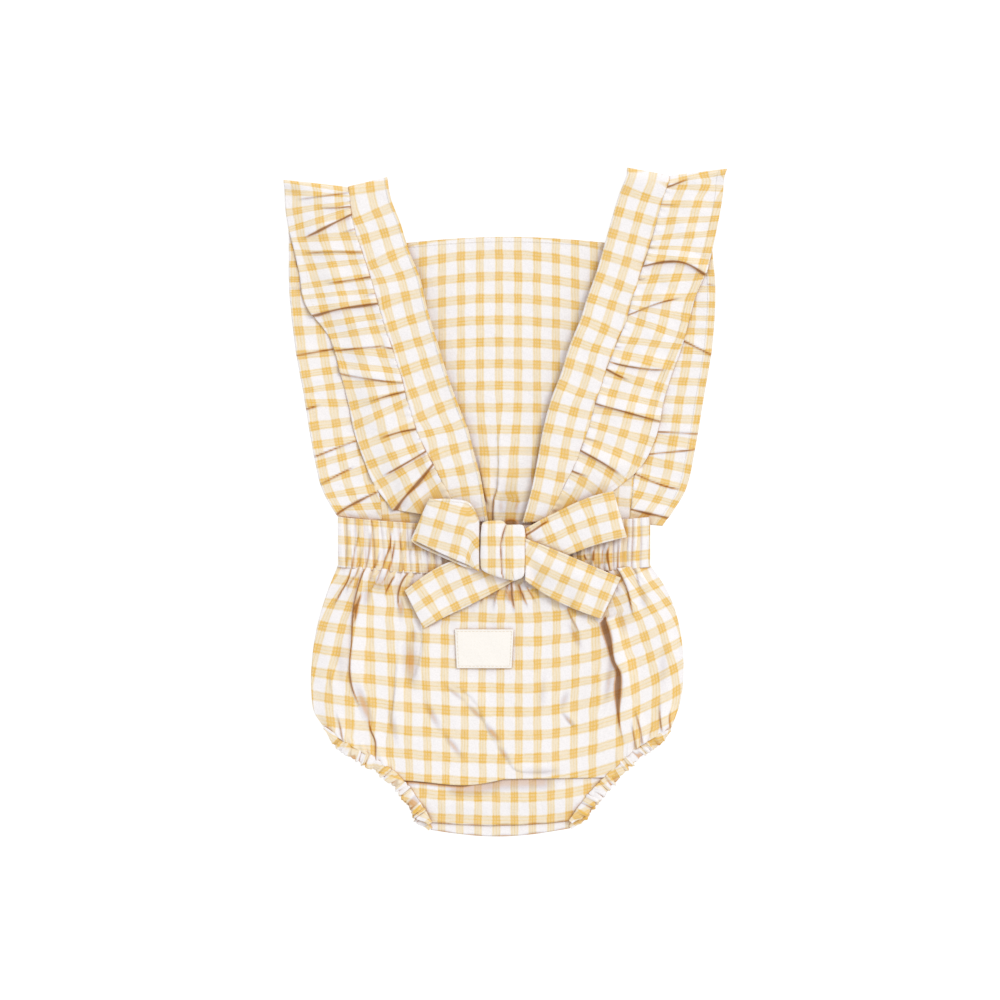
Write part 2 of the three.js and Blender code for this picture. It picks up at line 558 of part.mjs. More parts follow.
// A strip of the tie between two rails that run through its sections.
function addStrip(name, sections, cells, buckle) {
  const rail = (column) => smoothCurve(sections.map((s) => at(s[column], s.level + CLOTH / 2)));
  const [top, low] = [rail("top"), rail("low")];
  const middle = (u, v) => {
    const point = atShare(top, u).lerp(atShare(low, u), v);
    const ripple = Math.sin(Math.PI * clamp01(v)) * smooth(Math.min(u, 1 - u) * 8);
    point.z += buckle * ripple * (0.6 + 0.4 * Math.sin(9 * u));
    return point;
  };
  addWall(name, range(cells), range(4), middle, CLOTH);
}

addStrip("bow_tail_left", LEFT_TAIL, 12, 0);
addStrip("bow_tail_right", RIGHT_TAIL, 12, LOOP_BUCKLE);
addStrip("bow_loop_left", [...LEFT_LOOP_LOWER, LEFT_LOOP_END, ...LEFT_LOOP_UPPER], 28, 0);
addStrip("bow_loop_right", [...RIGHT_LOOP_LOWER, RIGHT_LOOP_END, ...RIGHT_LOOP_UPPER], 28, 0);

// Knot: a rounded pad with a crease down its middle, its lower end leaning to the right.
{
  const turn = range(28).slice(0, -1).map((share) => share * 2 * Math.PI);
  const levels = [
    { size: 0.9, height: 0 }, { size: 1, height: 0.3 }, { size: 0.97, height: 0.6 },
    { size: 0.84, height: 0.85 }, { size: 0.6, height: 0.97 }, { size: 0.3, height: 1 },
  ];
  const ring = ({ size, height }, angle) => {
    const soft = (value) => Math.sign(value) * Math.abs(value) ** 0.72;
    const across = soft(Math.cos(angle)) * size;
    const along = soft(Math.sin(angle)) * size;
    const x = KNOT.x + across * KNOT.halfWidth - along * KNOT.lean * KNOT.halfWidth;
    const creased = KNOT.crease * bump((across + 0.05) / 0.22) * height;
    const pinch = 1 - 0.06 * bump(across / 0.3) * Math.abs(along);
    return [x, KNOT.y + along * KNOT.halfHeight * pinch, KNOT_LEVEL + KNOT.rise * height - creased];
  };
  const positions = levels.flatMap((level) => turn.flatMap((angle) => ring(level, angle)));
  const top = positions.length / 3;
  positions.push(KNOT.x, KNOT.y, KNOT_LEVEL + KNOT.rise - KNOT.crease, KNOT.x, KNOT.y, KNOT_LEVEL);
  const index = [];
  const lastLevel = levels.length - 1;
  turn.forEach((_, j) => {
    const next = (j + 1) % turn.length;
    for (let k = 0; k < lastLevel; k += 1) {
      const [low, high] = [k * turn.length, (k + 1) * turn.length];
      index.push(low + j, low + next, high + next, low + j, high + next, high + j);
    }
    index.push(lastLevel * turn.length + j, lastLevel * turn.length + next, top);
    index.push(next, j, top + 1);
  });
  const geometry = new THREE.BufferGeometry();
  geometry.setAttribute("position", new THREE.Float32BufferAttribute(positions, 3));
  geometry.setIndex(index);
  geometry.computeVertexNormals();
  const material = new THREE.MeshStandardMaterial({ color: CHECK_CLOTH, roughness: 0.9, metalness: 0 });
  const knot = new THREE.Mesh(geometry, material);
  knot.name = "bow_knot";
  garment.add(knot);
}

// Label: a small rectangle on the back panel, lifted off its surface.
{
  const level = PANEL_LEVEL + CLOTH + SEAM_GAP + LABEL_CLOTH / 2;
  const middle = (u, v) => {
    const x = mix(LABEL.left, LABEL.right, u) + (0.5 - u) * 2.4 * v;
    const y = mix(LABEL.top, LABEL.low, v);
    const lift = LABEL.fold * Math.sin(Math.PI * clamp01(u)) * Math.sin(Math.PI * clamp01(v));
    return new THREE.Vector3(x, y, level + lift);
  };
  addWall("label", range(6), range(4), middle, LABEL_CLOTH, LABEL_COLOUR);
}

export default garment;
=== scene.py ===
"""Baby romper in gingham cotton, laid flat with its back side up.

Every piece of cloth is a thin wall round a middle surface, which is a function of two parameters
worked out on a grid. Lengths in the tables are millimetres, X runs across the garment, Y up to the
shoulders and Z up from the floor.
"""
import math
from collections import namedtuple

import bpy
import numpy as np
from bpy.props import FloatProperty, FloatVectorProperty, PointerProperty
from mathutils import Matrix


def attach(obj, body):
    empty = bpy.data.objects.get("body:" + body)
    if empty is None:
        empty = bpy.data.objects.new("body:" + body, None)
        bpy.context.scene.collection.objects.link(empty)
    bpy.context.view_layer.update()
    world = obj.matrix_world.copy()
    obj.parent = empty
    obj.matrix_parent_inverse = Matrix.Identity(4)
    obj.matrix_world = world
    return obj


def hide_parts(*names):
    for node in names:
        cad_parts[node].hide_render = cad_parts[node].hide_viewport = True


bl_info = {
    "name": "Gingham baby romper",
    "version": (1, 0, 0),
    "blender": (4, 5, 0),
    "location": "3D View > Sidebar > Romper",
    "description": "Sews a ruffled gingham romper round its packed model and sets up a bright studio",
    "category": "Object",
}

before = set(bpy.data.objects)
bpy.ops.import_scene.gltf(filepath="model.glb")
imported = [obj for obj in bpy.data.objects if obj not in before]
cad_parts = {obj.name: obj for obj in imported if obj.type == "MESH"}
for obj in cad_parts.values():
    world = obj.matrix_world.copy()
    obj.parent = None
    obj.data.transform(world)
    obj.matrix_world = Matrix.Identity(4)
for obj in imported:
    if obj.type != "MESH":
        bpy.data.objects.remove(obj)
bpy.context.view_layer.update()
MM = 0.001

# Each of the record's slots: its material, and the last word in the names of its pieces
SLOTS = {"gingham_cotton": ("checked_cotton", "cloth"), "label_cloth": ("woven_tape", "tape")}

# Heights of the layers' undersides over the floor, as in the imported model
FRONT_LEVEL = 0.0
STRAP_LEVEL = 5.0
BAND_LEVEL = 3.3
PANEL_LEVEL = 3.7
SIDE_SEAM_LEVEL = 1.7
CASING_LEVEL = 3.3
KNOT_LEVEL = 9.0

# The gap at seams, how far from a side seam a layer comes down to it, and a leg casing's width
SEAM_GAP = 0.35
SIDE_ROLL = 12.0
CASING_WIDTH = 6.0

# Lines of painted shade under lips are drawn wider than the tables say, and crests lean less. A
# line finer than FINEST_LINE is drawn that wide, and one below FULL_LINE fainter the finer it is.
LINE_SCALE = 1.4
LEAN_SCALE = 0.45
FINEST_LINE = 1.65
FULL_LINE = 1.35

# One repeat of the check as the material draws it, and as it measures on the pieces
CHECK_ACROSS = 12.0
CHECK_ALONG = 13.8
STRAP_ACROSS = 12.6
STRAP_ALONG = 14.35
RUFFLE_ACROSS = 13.3
PANEL_ACROSS = 11.5
PANEL_ALONG = 14.8
BAND_ALONG_LEFT = 13.3
BAND_ALONG_RIGHT = 15.0

# Places (X and Y) that a column and a row of the check start from, how far the band's rows step down
# to the right, and how much wider than the band its cloth is
BIB_COLUMN = -3.15
BIB_ROW = 156.9
PANEL_COLUMN = 9.45
PANEL_ROW = -72.4
BAND_COLUMN = -99.8
BAND_STEP = 7.3
BAND_FULLNESS = 1.3
KNOT_COLUMN = -8.2
KNOT_ROW = -23.9
FLAP_SHIFT = (3.0, 5.0)

# How the columns of a panel fan out: their lean at places across it (X), and the level (Y) from
# which they lean
FAN_X = (-121, -96, -84, 58, 70, 113)
FAN_LEAN = (-0.26, -0.2, 0, 0, 0.25, 0.3)
FAN_LEVEL = -84

# From one gather to the next, and the depth of the waist's gathers
WAIST_PITCH = 5.6
WAIST_DEPTH = 1.3
PUCKER_PITCH = 5.2
CASING_PITCH = 5.7

# How far inside its edge a piece has its line of stitches, or a place too far inside to have one
STRAP_STITCH = 1.8
RUFFLE_HEM = 4.8
BIB_HEM = 3.0
BOW_STITCH = 1.6
LABEL_STITCH = 1.3
NO_STITCH = 60.0

# Where the crotch seam meets the leg, as a share of the leg's edge, and where the leg ends on a
# panel's lower edge, as a share of that
CROTCH_SHARE = 0.6
LEG_SHARE = 0.29

# Gentle unevenness of each piece: pitch and depth of its waves, and the seed they are drawn from
Waves = namedtuple("Waves", "pitch depth seed")
STRAP_WAVES = Waves(31, 0.4, 4)
RUFFLE_WAVES = Waves(19, 0.5, 11)
BIB_WAVES = Waves(46, 0.3, 7)
PANEL_WAVES = Waves(52, 0.5, 21)
CROTCH_WAVES = Waves(24, 0.25, 31)
LABEL_WAVES = Waves(22, 0.16, 51)

# The studio: half the floor's width in metres, the key light's turn, and the height over the floor
# at which the view's width is measured
FLOOR_HALF = 3.0
KEY_TURN = (math.radians(-28), math.radians(33), 0)
VIEW_LEVEL = 4.0

# Cells across the narrow pieces
STRAP_CELLS = 25
RUFFLE_CELLS = 42
BAND_CELLS = 34
BOW_CELLS = 40
CASING_CELLS = 16
CASING_CELLS_ALONG = 230
FLAP_CELLS_ACROSS = 96
FLAP_CELLS_ALONG = 36

# Across a strap and its ruffle: the strap's inner edge, their seam and the ruffle's rim
Section = namedtuple("Section", "inner seam rim")
LEFT_FRONT = [
    Section((-50.5, -13.6), (-77, -12), (-105, -8.5)),
    Section((-52.5, 8), (-79, 8), (-114.5, 8)),
    Section((-55, 36.5), (-82, 36.5), (-121, 35.5)),
    Section((-58.5, 68), (-85.5, 68), (-126, 66)),
    Section((-62.5, 99.5), (-89.5, 99.5), (-131.5, 96.5)),
    Section((-66, 134), (-93, 134), (-135.5, 134)),
    Section((-70, 172), (-96.5, 170.5), (-136, 170.5)),
    Section((-73, 201), (-97.5, 195.5), (-137.5, 199.5)),
]
LEFT_SHOULDER = Section((-73.5, 205), (-98, 199), (-139, 203.5))
LEFT_BACK = [
    Section((-73, 201), (-97.5, 195.5), (-138.5, 199.5)),
    Section((-71, 191), (-97, 187.5), (-138, 187)),
    Section((-65.5, 177), (-95, 175), (-136, 173)),
    Section((-60, 159.5), (-89.5, 157.5), (-132.5, 159.5)),
    Section((-53, 142), (-84.5, 142), (-129, 143.5)),
    Section((-48.5, 123), (-79.5, 125.5), (-126, 126.5)),
    Section((-42, 101.5), (-72.5, 102.5), (-110, 104)),
    Section((-35.5, 80.5), (-66, 82.5), (-103.5, 82.5)),
    Section((-27.5, 58.5), (-60, 61.5), (-98, 61.5)),
    Section((-22.5, 46), (-55.5, 46), (-94.5, 44.5)),
    Section((-18.5, 30), (-50, 33.5), (-89, 28.5)),
    Section((-15, 17.5), (-43, 21), (-82, 11.5)),
    Section((-10, -12), (-26.5, -11.5), (-70.5, -4)),
]
RIGHT_FRONT = [
    Section((52.5, -13), (79.5, -12.5), (100, -14.5)),
    Section((54, 8), (81.5, 8), (114.5, 8)),
    Section((57.5, 36.5), (84.5, 36.5), (121, 36.5)),
    Section((61, 68), (88, 68), (126, 66)),
    Section((65, 99.5), (92, 99.5), (131.5, 99.5)),
    Section((68.5, 134), (96, 134), (133.5, 134)),
    Section((74.5, 172), (101, 170.5), (131.5, 169)),
    Section((77.5, 207.5), (104, 202), (137, 204)),
]
RIGHT_SHOULDER = Section((77.5, 211), (104, 206), (140.5, 210.5))
RIGHT_BACK = [
    Section((77.5, 207.5), (104, 202), (139, 206)),
    Section((72, 193), (100, 191), (138, 194)),
    Section((65, 169), (94, 168), (133, 167)),
    Section((59, 148), (87.5, 148), (128.5, 148)),
    Section((53, 131), (81.5, 130.5), (121, 130.5)),
    Section((48, 115.5), (77, 114), (117, 115.5)),
    Section((41.5, 99.5), (70.5, 98.5), (112, 97.5)),
    Section((35.5, 80.5), (63.5, 80.5), (106, 81.5)),
    Section((29.5, 65), (58.5, 65), (101, 65)),
    Section((24.5, 46), (52.5, 44.5), (96, 42)),
    Section((21, 27), (46, 27), (87, 23.5)),
    Section((17.5, 9.5), (37, 8), (72, 10)),
    Section((11.5, -12.5), (26.5, -11.5), (51.5, -3)),
]

# Laps of a ruffle: where each lip meets the seam and the rim (Y), how far it bows up between them,
# its height, the width of the line of painted shade under it, and the shares across where it begins
# and ends.
Lap = namedtuple("Lap", "seam rim bow height line begin end")

# How far a lap rises from the shoulder's side, how far its crest leans for each mm of its height,
# and how far the back's rim droops
LAP_RUN = 8
LAP_LEAN = 0.3
RIM_DROOP = 3.7
LEFT_BACK_LAPS = [
    Lap(195.5, 190.5, 0, 0.8, 0.7, -0.2, 0.9),
    Lap(186.5, 187, -0.8, 1.0, 0.9, -0.2, 0.6),
    Lap(182, 163.5, 0, 2.0, 1.7, -0.2, 0.9),
    Lap(172.5, 162, 0, 0.8, 1.0, -0.2, 0.28),
    Lap(158, 157.5, 0.6, 1.2, 0.8, -0.2, 0.95),
    Lap(142.5, 136, 0, 1.2, 1.0, -0.2, 0.7),
    Lap(132, 120, 0, 0.8, 0.9, -0.2, 0.28),
    Lap(126, 118.5, 0.8, 2.2, 1.8, -0.2, 1.2),
    Lap(99.5, 96.5, 0, 1.2, 0.9, 0.05, 1.2),
    Lap(97.5, 104, 0, 1.0, 1.2, -0.2, 0.3),
    Lap(76, 82, -0.8, 1.4, 0.9, -0.2, 1.2),
    Lap(70.5, 58, 1.5, 1.2, 1.0, -0.2, 0.75),
    Lap(47, 33, 2.5, 1.4, 1.3, -0.2, 0.7),
    Lap(33, 13.5, 0, 1.8, 1.3, -0.2, 0.9),
    Lap(25, -5, -0.8, 2.4, 2.2, -0.2, 1.2),
]
RIGHT_BACK_LAPS = [
    Lap(199, 214, 0, 1.4, 1.2, -0.2, 0.6),
    Lap(188, 187, 0, 0.6, 0.6, -0.2, 0.4),
    Lap(161, 160, 0, 0.8, 0.9, -0.2, 0.22),
    Lap(149.5, 144.5, 5.5, 2.4, 1.8, -0.2, 1.2),
    Lap(140.5, 150, 0, 0.8, 1.0, -0.2, 0.2),
    Lap(118.5, 130.5, 2.5, 1.6, 1.0, -0.2, 0.85),
    Lap(98.5, 95, 0, 0.8, 0.8, -0.2, 0.25),
    Lap(89, 84, -1.2, 1.8, 1.2, -0.1, 0.98),
    Lap(84.5, 66, 0, 1.4, 1.2, -0.2, 0.5),
    Lap(63, 52, 0, 2.0, 1.3, -0.2, 1.2),
    Lap(41, 30, 0, 0.8, 0.9, -0.2, 0.3),
    Lap(33.5, 14, 0, 1.8, 1.3, -0.2, 0.85),
    Lap(20.5, 8, 0, 1.2, 1.0, -0.2, 0.4),
]
LEFT_FRONT_LAPS = [
    Lap(178, 176, 0, 0.8, 0.5, -0.2, 1.2),
    Lap(133, 136, 0, 0.8, 0.5, -0.2, 1.2),
    Lap(101, 93.5, 0, 1.6, 1.3, -0.2, 1.2),
    Lap(72, 59.5, 0, 1.2, 1.2, 0.72, 1.2),
    Lap(44, 29.5, 0, 1.6, 1.1, -0.2, 1.2),
    Lap(30, 12, 0, 1.0, 1.0, 0.3, 1.2),
    Lap(8, -7, 0, 2.0, 1.8, -0.2, 1.2),
]
RIGHT_FRONT_LAPS = [
    Lap(160, 163, 0, 0.8, 0.5, -0.2, 1.2),
    Lap(145, 137.5, 0, 0.8, 0.9, 0.75, 1.2),
    Lap(113, 94, 0, 1.8, 1.4, -0.2, 1.2),
    Lap(46, 44, 0, 1.2, 1.0, -0.2, 1.2),
    Lap(30.5, 34, 0, 1.4, 1.2, -0.2, 1.2),
    Lap(19, 8, -1.5, 1.2, 1.2, -0.2, 1.0),
    Lap(-3.5, -9, 0, 2.0, 1.8, -0.2, 1.2),
]

Row = namedtuple("Row", "seam rim")
LEFT_BACK_ROWS = [
    Row(208, 214), Row(196, 203), Row(193, 197), Row(189, 183), Row(185, 172), Row(167.5, 166),
    Row(157, 158), Row(153, 148), Row(142.5, 136), Row(133, 130), Row(128, 122), Row(117.5, 111.5),
    Row(111, 105), Row(93, 97), Row(82.5, 88), Row(76, 74.5), Row(70.5, 60.5), Row(65, 48.5),
    Row(48, 35.5), Row(36, 23.5), Row(29, 10.5), Row(21, -1.5), Row(12, -12),
]
RIGHT_BACK_ROWS = [
    Row(212, 222), Row(201, 209), Row(200, 198.5), Row(188, 188), Row(177, 179.5), Row(166, 170.5),
    Row(161, 159), Row(156, 152), Row(140, 143.5), Row(128, 130), Row(124, 116.5), Row(117, 104),
    Row(102.5, 99), Row(95, 86.5), Row(82.5, 71), Row(71, 61.5), Row(58.5, 53.5), Row(50, 38),
    Row(40, 25), Row(29.5, 12), Row(18, 2), Row(6, -10),
]
LEFT_FRONT_ROWS = [
    Row(205, 205), Row(193, 193), Row(182, 182.5), Row(172, 172), Row(161, 161.5), Row(151, 150.5),
    Row(141, 141), Row(133, 133), Row(121, 120.5), Row(111, 109), Row(97, 93), Row(87, 80.5),
    Row(77, 70.5), Row(63, 64), Row(54, 47.5), Row(42, 36.5), Row(35, 24), Row(24, 12.5),
    Row(10, 4), Row(-2, -3), Row(-12, -14),
]
RIGHT_FRONT_ROWS = [
    Row(214, 214), Row(202, 202), Row(190, 190), Row(178, 178), Row(167, 167), Row(156, 156),
    Row(145, 145), Row(135, 135), Row(126, 125), Row(117, 116.5), Row(110, 108.5), Row(98, 94.5),
    Row(89, 87.5), Row(78, 76), Row(66, 64.5), Row(54, 53), Row(43, 37), Row(28, 20.5),
    Row(18, 9), Row(6, -1), Row(-6, -12),
]

# How far the first column of the check lies from a ruffle's seam, on the back, and from its rim, on
# the front, and how far the first column and row lie from a strap's inner edge and its start
Columns = namedtuple("Columns", "from_seam from_rim strap_column strap_row")

# All that one side's strap and ruffle need
Side = namedtuple("Side", "front shoulder back front_laps back_laps front_rows back_rows columns")
LEFT = Side(
    LEFT_FRONT, LEFT_SHOULDER, LEFT_BACK, LEFT_FRONT_LAPS, LEFT_BACK_LAPS, LEFT_FRONT_ROWS, LEFT_BACK_ROWS,
    Columns(6.6, 3.8, 11.4, 5.5),
)
RIGHT = Side(
    RIGHT_FRONT, RIGHT_SHOULDER, RIGHT_BACK, RIGHT_FRONT_LAPS, RIGHT_BACK_LAPS, RIGHT_FRONT_ROWS,
    RIGHT_BACK_ROWS, Columns(8.4, 1.3, 3.4, 0.6),
)
SIDES = {"left": LEFT, "right": RIGHT}

# The waistband's ends (X), its top edge (Y), its height and how far its top edge sags
WAIST_LEFT = -104.5
WAIST_RIGHT = 92.0
WAIST_TOP = -10.0
WAIST_HEIGHT = 29.5
WAIST_SAG = 5.5

# The bib's top edge (Y) and its crown, its gap to the straps, the ends of its lower edge (X), and
# the width and height that its cells are counted from
BIB_TOP = 163.5
BIB_CROWN = 4.5
BIB_SIDE_GAP = 0.9
BIB_LOW_LEFT = -50
BIB_LOW_RIGHT = 52
BIB_WIDTH = 112
BIB_HEIGHT = 180

# The bloomers' side seams from the waist down, and the legs' edges from the side to the crotch
LEFT_SIDE = [
    (-104.5, -38.9), (-111, -55), (-116, -70.5), (-119.5, -86.5),
    (-121.5, -105), (-121.5, -118), (-119.8, -131.5), (-113.5, -141.5),
]
RIGHT_SIDE = [
    (92, -38.9), (101, -52), (107, -65), (111, -80),
    (113, -96), (113, -111.5), (111, -126), (105, -143),
]
LEFT_LEG = [(-113.5, -141.5), (-95.5, -153.5), (-79, -163), (-64.5, -175), (-55, -187), (-46, -201.6)]
RIGHT_LEG = [(105, -143), (90.5, -150), (78, -159), (64.5, -173), (53, -185), (41.5, -200.6)]

# A crease's route is the lip that shows. Seen along the route, the cloth rises gently to the crest
# from the right and drops steeply under the lip on the left. Line is the width of the line of
# painted shade there, and ends are the shares of the route over which the crease dies out.
Crease = namedtuple("Crease", "route height gentle lean hidden line ends")

# A soft hollow between folds: its middle, its half width and half height, how far it leans for
# each mm up the page, how deep it is and how dark the shade painted into it is
Hollow = namedtuple("Hollow", "x y across along lean drop tint")
BACK_CREASES = [
    Crease([(-109, -68), (-102.7, -57.3), (-97.7, -48.5), (-95.1, -39.5)], 1.6, 6, 1.0, 2, 1.2, (0.5, 0.1)),
    Crease(
        [(-84, -147), (-90.5, -128.5), (-95, -117), (-96.5, -104), (-95.3, -88), (-94.7, -74),
         (-93.8, -64), (-91.5, -54), (-86.5, -39.5)],
        2.6, 12, 1.2, 5, 1.5, (0.45, 0.05),
    ),
    Crease([(-94, -80), (-92.3, -68), (-90.5, -61), (-88, -53)], 0.4, 6, 0.4, 0, 2.0, (0.5, 0.5)),
    Crease([(-101.5, -62), (-97, -52), (-92.5, -45), (-90.5, -39.5)], 0.9, 4, 0.6, 1, 0.7, (0.6, 0.1)),
    Crease([(-86, -66), (-84.5, -56.4), (-79.7, -49.8), (-76, -39.5)], 1.3, 5, 0.9, 2, 0.8, (0.6, 0.1)),
    Crease([(-80, -58), (-77.7, -52.6), (-74.5, -47.3), (-72, -40.5)], 1.0, 4, 0.7, 1, 0.8, (0.5, 0.1)),
    Crease([(-76, -61), (-73.2, -54.6), (-70.7, -49.8), (-67.8, -45)], 1.1, 4, 0.7, 1, 1.0, (0.5, 0.2)),
    Crease([(-85, -53), (-83, -47), (-81, -40)], 0.8, 4, 0.6, 1, 0.7, (0.5, 0.1)),
    Crease(
        [(-65, -74), (-66.2, -62), (-65.5, -55.2), (-63, -48.5), (-58.4, -42.3)],
        2.0, 7, 1.4, 3, 1.5, (0.5, 0.2),
    ),
    Crease([(-60, -118), (-54, -105), (-51, -92), (-51, -74)], 1.8, 16, 0.6, 2, 0, (0.3, 0.1)),
    Crease(
        [(-76, -160), (-71, -140), (-69, -124), (-67, -100), (-66, -76)],
        1.2, 9, 0.5, 2, 0.35, (0.4, 0.5),
    ),
    Crease([(-80.5, -163), (-80.5, -150), (-83.8, -142), (-86, -124)], 1.4, 6, 1.0, 2, 1.2, (0.1, 0.7)),
    Crease([(2, -160), (-9, -144), (-17, -126), (-25, -118), (-38, -111)], 0.9, 10, 0.4, 1, 0, (0.3, 0.3)),
    Crease(
        [(77.5, -155), (73.5, -143), (72.5, -132), (73.7, -118), (73.7, -106.5), (69.9, -98.9),
         (67.4, -83.2), (63.6, -71.2)],
        4.2, 12, 2.6, 6, 4.4, (0.55, 0.04),
    ),
    Crease([(84, -156), (82, -146), (79.5, -134)], 1.2, 5, 0.8, 1, 0.9, (0.1, 0.7)),
    Crease([(82, -76), (80.5, -66), (78.5, -56), (75, -47), (71, -40)], 2.0, 7, 1.4, 3, 1.2, (0.5, 0.05)),
    Crease([(50, -88), (46, -78), (41.5, -69), (40, -64)], 1.8, 9, 0.8, 2, 1.0, (0.6, 0.1)),
    Crease([(60, -100), (56, -112), (54, -126)], 0.8, 9, 0.4, 1, 0, (0.3, 0.3)),
    Crease([(100, -146), (98.5, -131), (99.5, -118)], 1.4, 6, 1.0, 1, 0.8, (0.2, 0.7)),
    Crease([(105.5, -143), (104.5, -136), (105.5, -128)], 1.0, 4, 0.6, 1, 0.8, (0.2, 0.5)),
    Crease([(88, -153), (85.5, -140), (81, -126)], 1.2, 5, 0.6, 1, 0.9, (0.1, 0.6)),
    Crease([(-101, -151), (-103, -140), (-107, -127)], 1.0, 5, 0.5, 1, 0.7, (0.1, 0.7)),
    Crease([(46, -144), (41.5, -138), (35, -127)], 0.9, 6, 0.6, 1, 0.6, (0.4, 0.6)),
    Crease([(37, -167), (21, -169), (7, -167), (0.5, -156)], 1.2, 8, 0.6, 1, 0, (0.3, 0.3)),
    Crease([(-14.5, -66), (-13, -58), (-9.5, -50)], 1.0, 3, 0.5, 1, 1.3, (0.6, 0.1)),
    Crease([(-7, -70), (-5, -60), (-1, -50)], 1.2, 3, 0.6, 1, 1.0, (0.6, 0.1)),
    Crease([(0.5, -66), (1.5, -58), (3, -49)], 1.0, 3, 0.5, 1, 0.9, (0.6, 0.1)),
    Crease([(7, -72), (5.8, -60), (5, -49)], 1.2, 3, 0.6, 1, 1.5, (0.6, 0.1)),
    Crease([(16, -68), (12.6, -59), (9, -50)], 1.2, 4, 0.6, 1, 1.5, (0.6, 0.1)),
    Crease([(22, -66), (18.5, -59), (14, -52)], 1.0, 4, 0.5, 1, 0.9, (0.6, 0.1)),
    Crease([(88, -58), (85, -50), (83, -41)], 0.9, 5, 0.5, 1, 0.5, (0.6, 0.1)),
    Crease([(-107.5, -125), (-109, -112), (-108, -100)], 0.8, 6, 0.4, 1, 0.4, (0.5, 0.5)),
]
BACK_HOLLOWS = [
    Hollow(-59, -100, 9, 27, -0.03, 1.0, 0.46),
    Hollow(-88, -128, 6, 24, -0.35, 0.8, 0.5),
    Hollow(-93, -66, 3.4, 13, 0.1, 0.3, 0.75),
    Hollow(-86, -58, 5, 14, 0.2, 0.3, 0.4),
    Hollow(-65, -66, 4, 12, 0, 0.4, 0.5),
    Hollow(-57, -84, 4, 10, 0, 0.4, 0.4),
    Hollow(-8, -57, 6, 8, 0.2, 0.2, 0.45),
    Hollow(4, -58, 5, 9, 0, 0.2, 0.6),
    Hollow(11, -57, 4, 9, -0.2, 0.2, 0.5),
    Hollow(66, -112, 4.5, 26, 0.12, 0.5, 0.4),
    Hollow(88, -60, 5, 12, -0.2, 0.3, 0.35),
    Hollow(74, -74, 7, 16, -0.2, 0.3, 0.35),
    Hollow(24, -169, 24, 5, 0, 0.3, 0.3),
    Hollow(-78, -50, 12, 9, 0.2, 0.2, 0.4),
    Hollow(45, -84, 5, 14, -0.4, 0.3, 0.42),
    Hollow(-103, -100, 6, 24, 0, 0.4, 0.25),
    Hollow(100, -104, 6, 26, 0.05, 0.4, 0.25),
    Hollow(-31, -120, 4.5, 9, -1.1, 0.3, 0.4),
    Hollow(-18, -132, 4.5, 10, -0.9, 0.3, 0.45),
    Hollow(-7, -145, 4.5, 11, -0.7, 0.3, 0.5),
    Hollow(0, -158, 4.5, 10, -0.6, 0.3, 0.45),
    Hollow(-45, -134, 5, 17, -0.5, 0.3, 0.42),
    Hollow(-32, -153, 5, 14, -0.7, 0.3, 0.45),
    Hollow(38, -124, 5, 10, 0.3, 0.3, 0.38),
    Hollow(41, -137, 4, 8, -0.8, 0.3, 0.45),
    Hollow(-70, -140, 4.5, 20, -0.2, 0.3, 0.38),
    Hollow(24, -120, 5, 22, 0.1, 0.3, 0.25),
]
FRONT_CREASES = [
    Crease([(-89, -138), (-91, -84), (-84, -43)], 1.4, 9, 0.8, 3, 0.8, (0.3, 0.1)),
    Crease([(-74, -140), (-66, -88), (-62, -45)], 1.2, 9, 0.8, 3, 0.8, (0.3, 0.1)),
    Crease([(-46, -160), (-38, -90), (-34, -45)], 1.1, 9, 0.6, 2, 0.7, (0.3, 0.1)),
    Crease([(-8, -150), (-4, -84), (-6, -45)], 1.0, 9, 0.6, 2, 0.7, (0.3, 0.1)),
    Crease([(30, -158), (26, -92), (22, -45)], 1.1, 9, 0.6, 2, 0.7, (0.3, 0.1)),
    Crease([(62, -140), (58, -90), (50, -45)], 1.2, 9, 0.8, 3, 0.8, (0.3, 0.1)),
    Crease([(84, -136), (82, -88), (72, -45)], 1.4, 9, 0.8, 3, 0.8, (0.3, 0.1)),
]
BIB_CREASES = [
    Crease([(-9.5, -2), (-12.8, 8), (-14.5, 18), (-16.4, 30), (-20, 42)], 1.2, 8, 0.8, 3, 0.7, (0.1, 0.8)),
    Crease(
        [(-6, -30), (-5.8, 2), (-4, 8), (-3, 24), (-3.2, 40), (-2.5, 68)],
        1.6, 7, 1.2, 12, 0.35, (0.02, 0.7),
    ),
    Crease([(-6, -26), (-6, 2), (-4.2, 8), (-3.2, 26)], 0.3, 4, 0.3, 0, 0.85, (0.02, 0.6)),
    Crease([(20, -3), (18.5, 10), (18, 21), (20, 34), (22, 46)], 1.2, 7, 0.8, 3, 0.7, (0.1, 0.6)),
    Crease([(21, 2), (24, 12), (28.5, 24)], 1.0, 5, 0.8, 1, 0.8, (0.1, 0.5)),
    Crease([(-36, -12), (-37, 8), (-40, 30)], 1.2, 7, 0.8, 3, 0.6, (0.1, 0.5)),
    Crease([(35, -12), (35, 8), (38, 30)], 1.2, 7, 0.8, 3, 0.6, (0.1, 0.5)),
]
# The bib's hollows press nothing in: they only paint shade into the cloth
BIB_HOLLOWS = [
    Hollow(4.5, -12.5, 9, 5, 0, 0, 1.0),
    Hollow(8, -2, 3.5, 14, 0.05, 0, 0.45),
    Hollow(-2, -2, 4, 12, 0, 0, 0.4),
    Hollow(3, 0, 14, 30, 0, 0, 0.3),
]
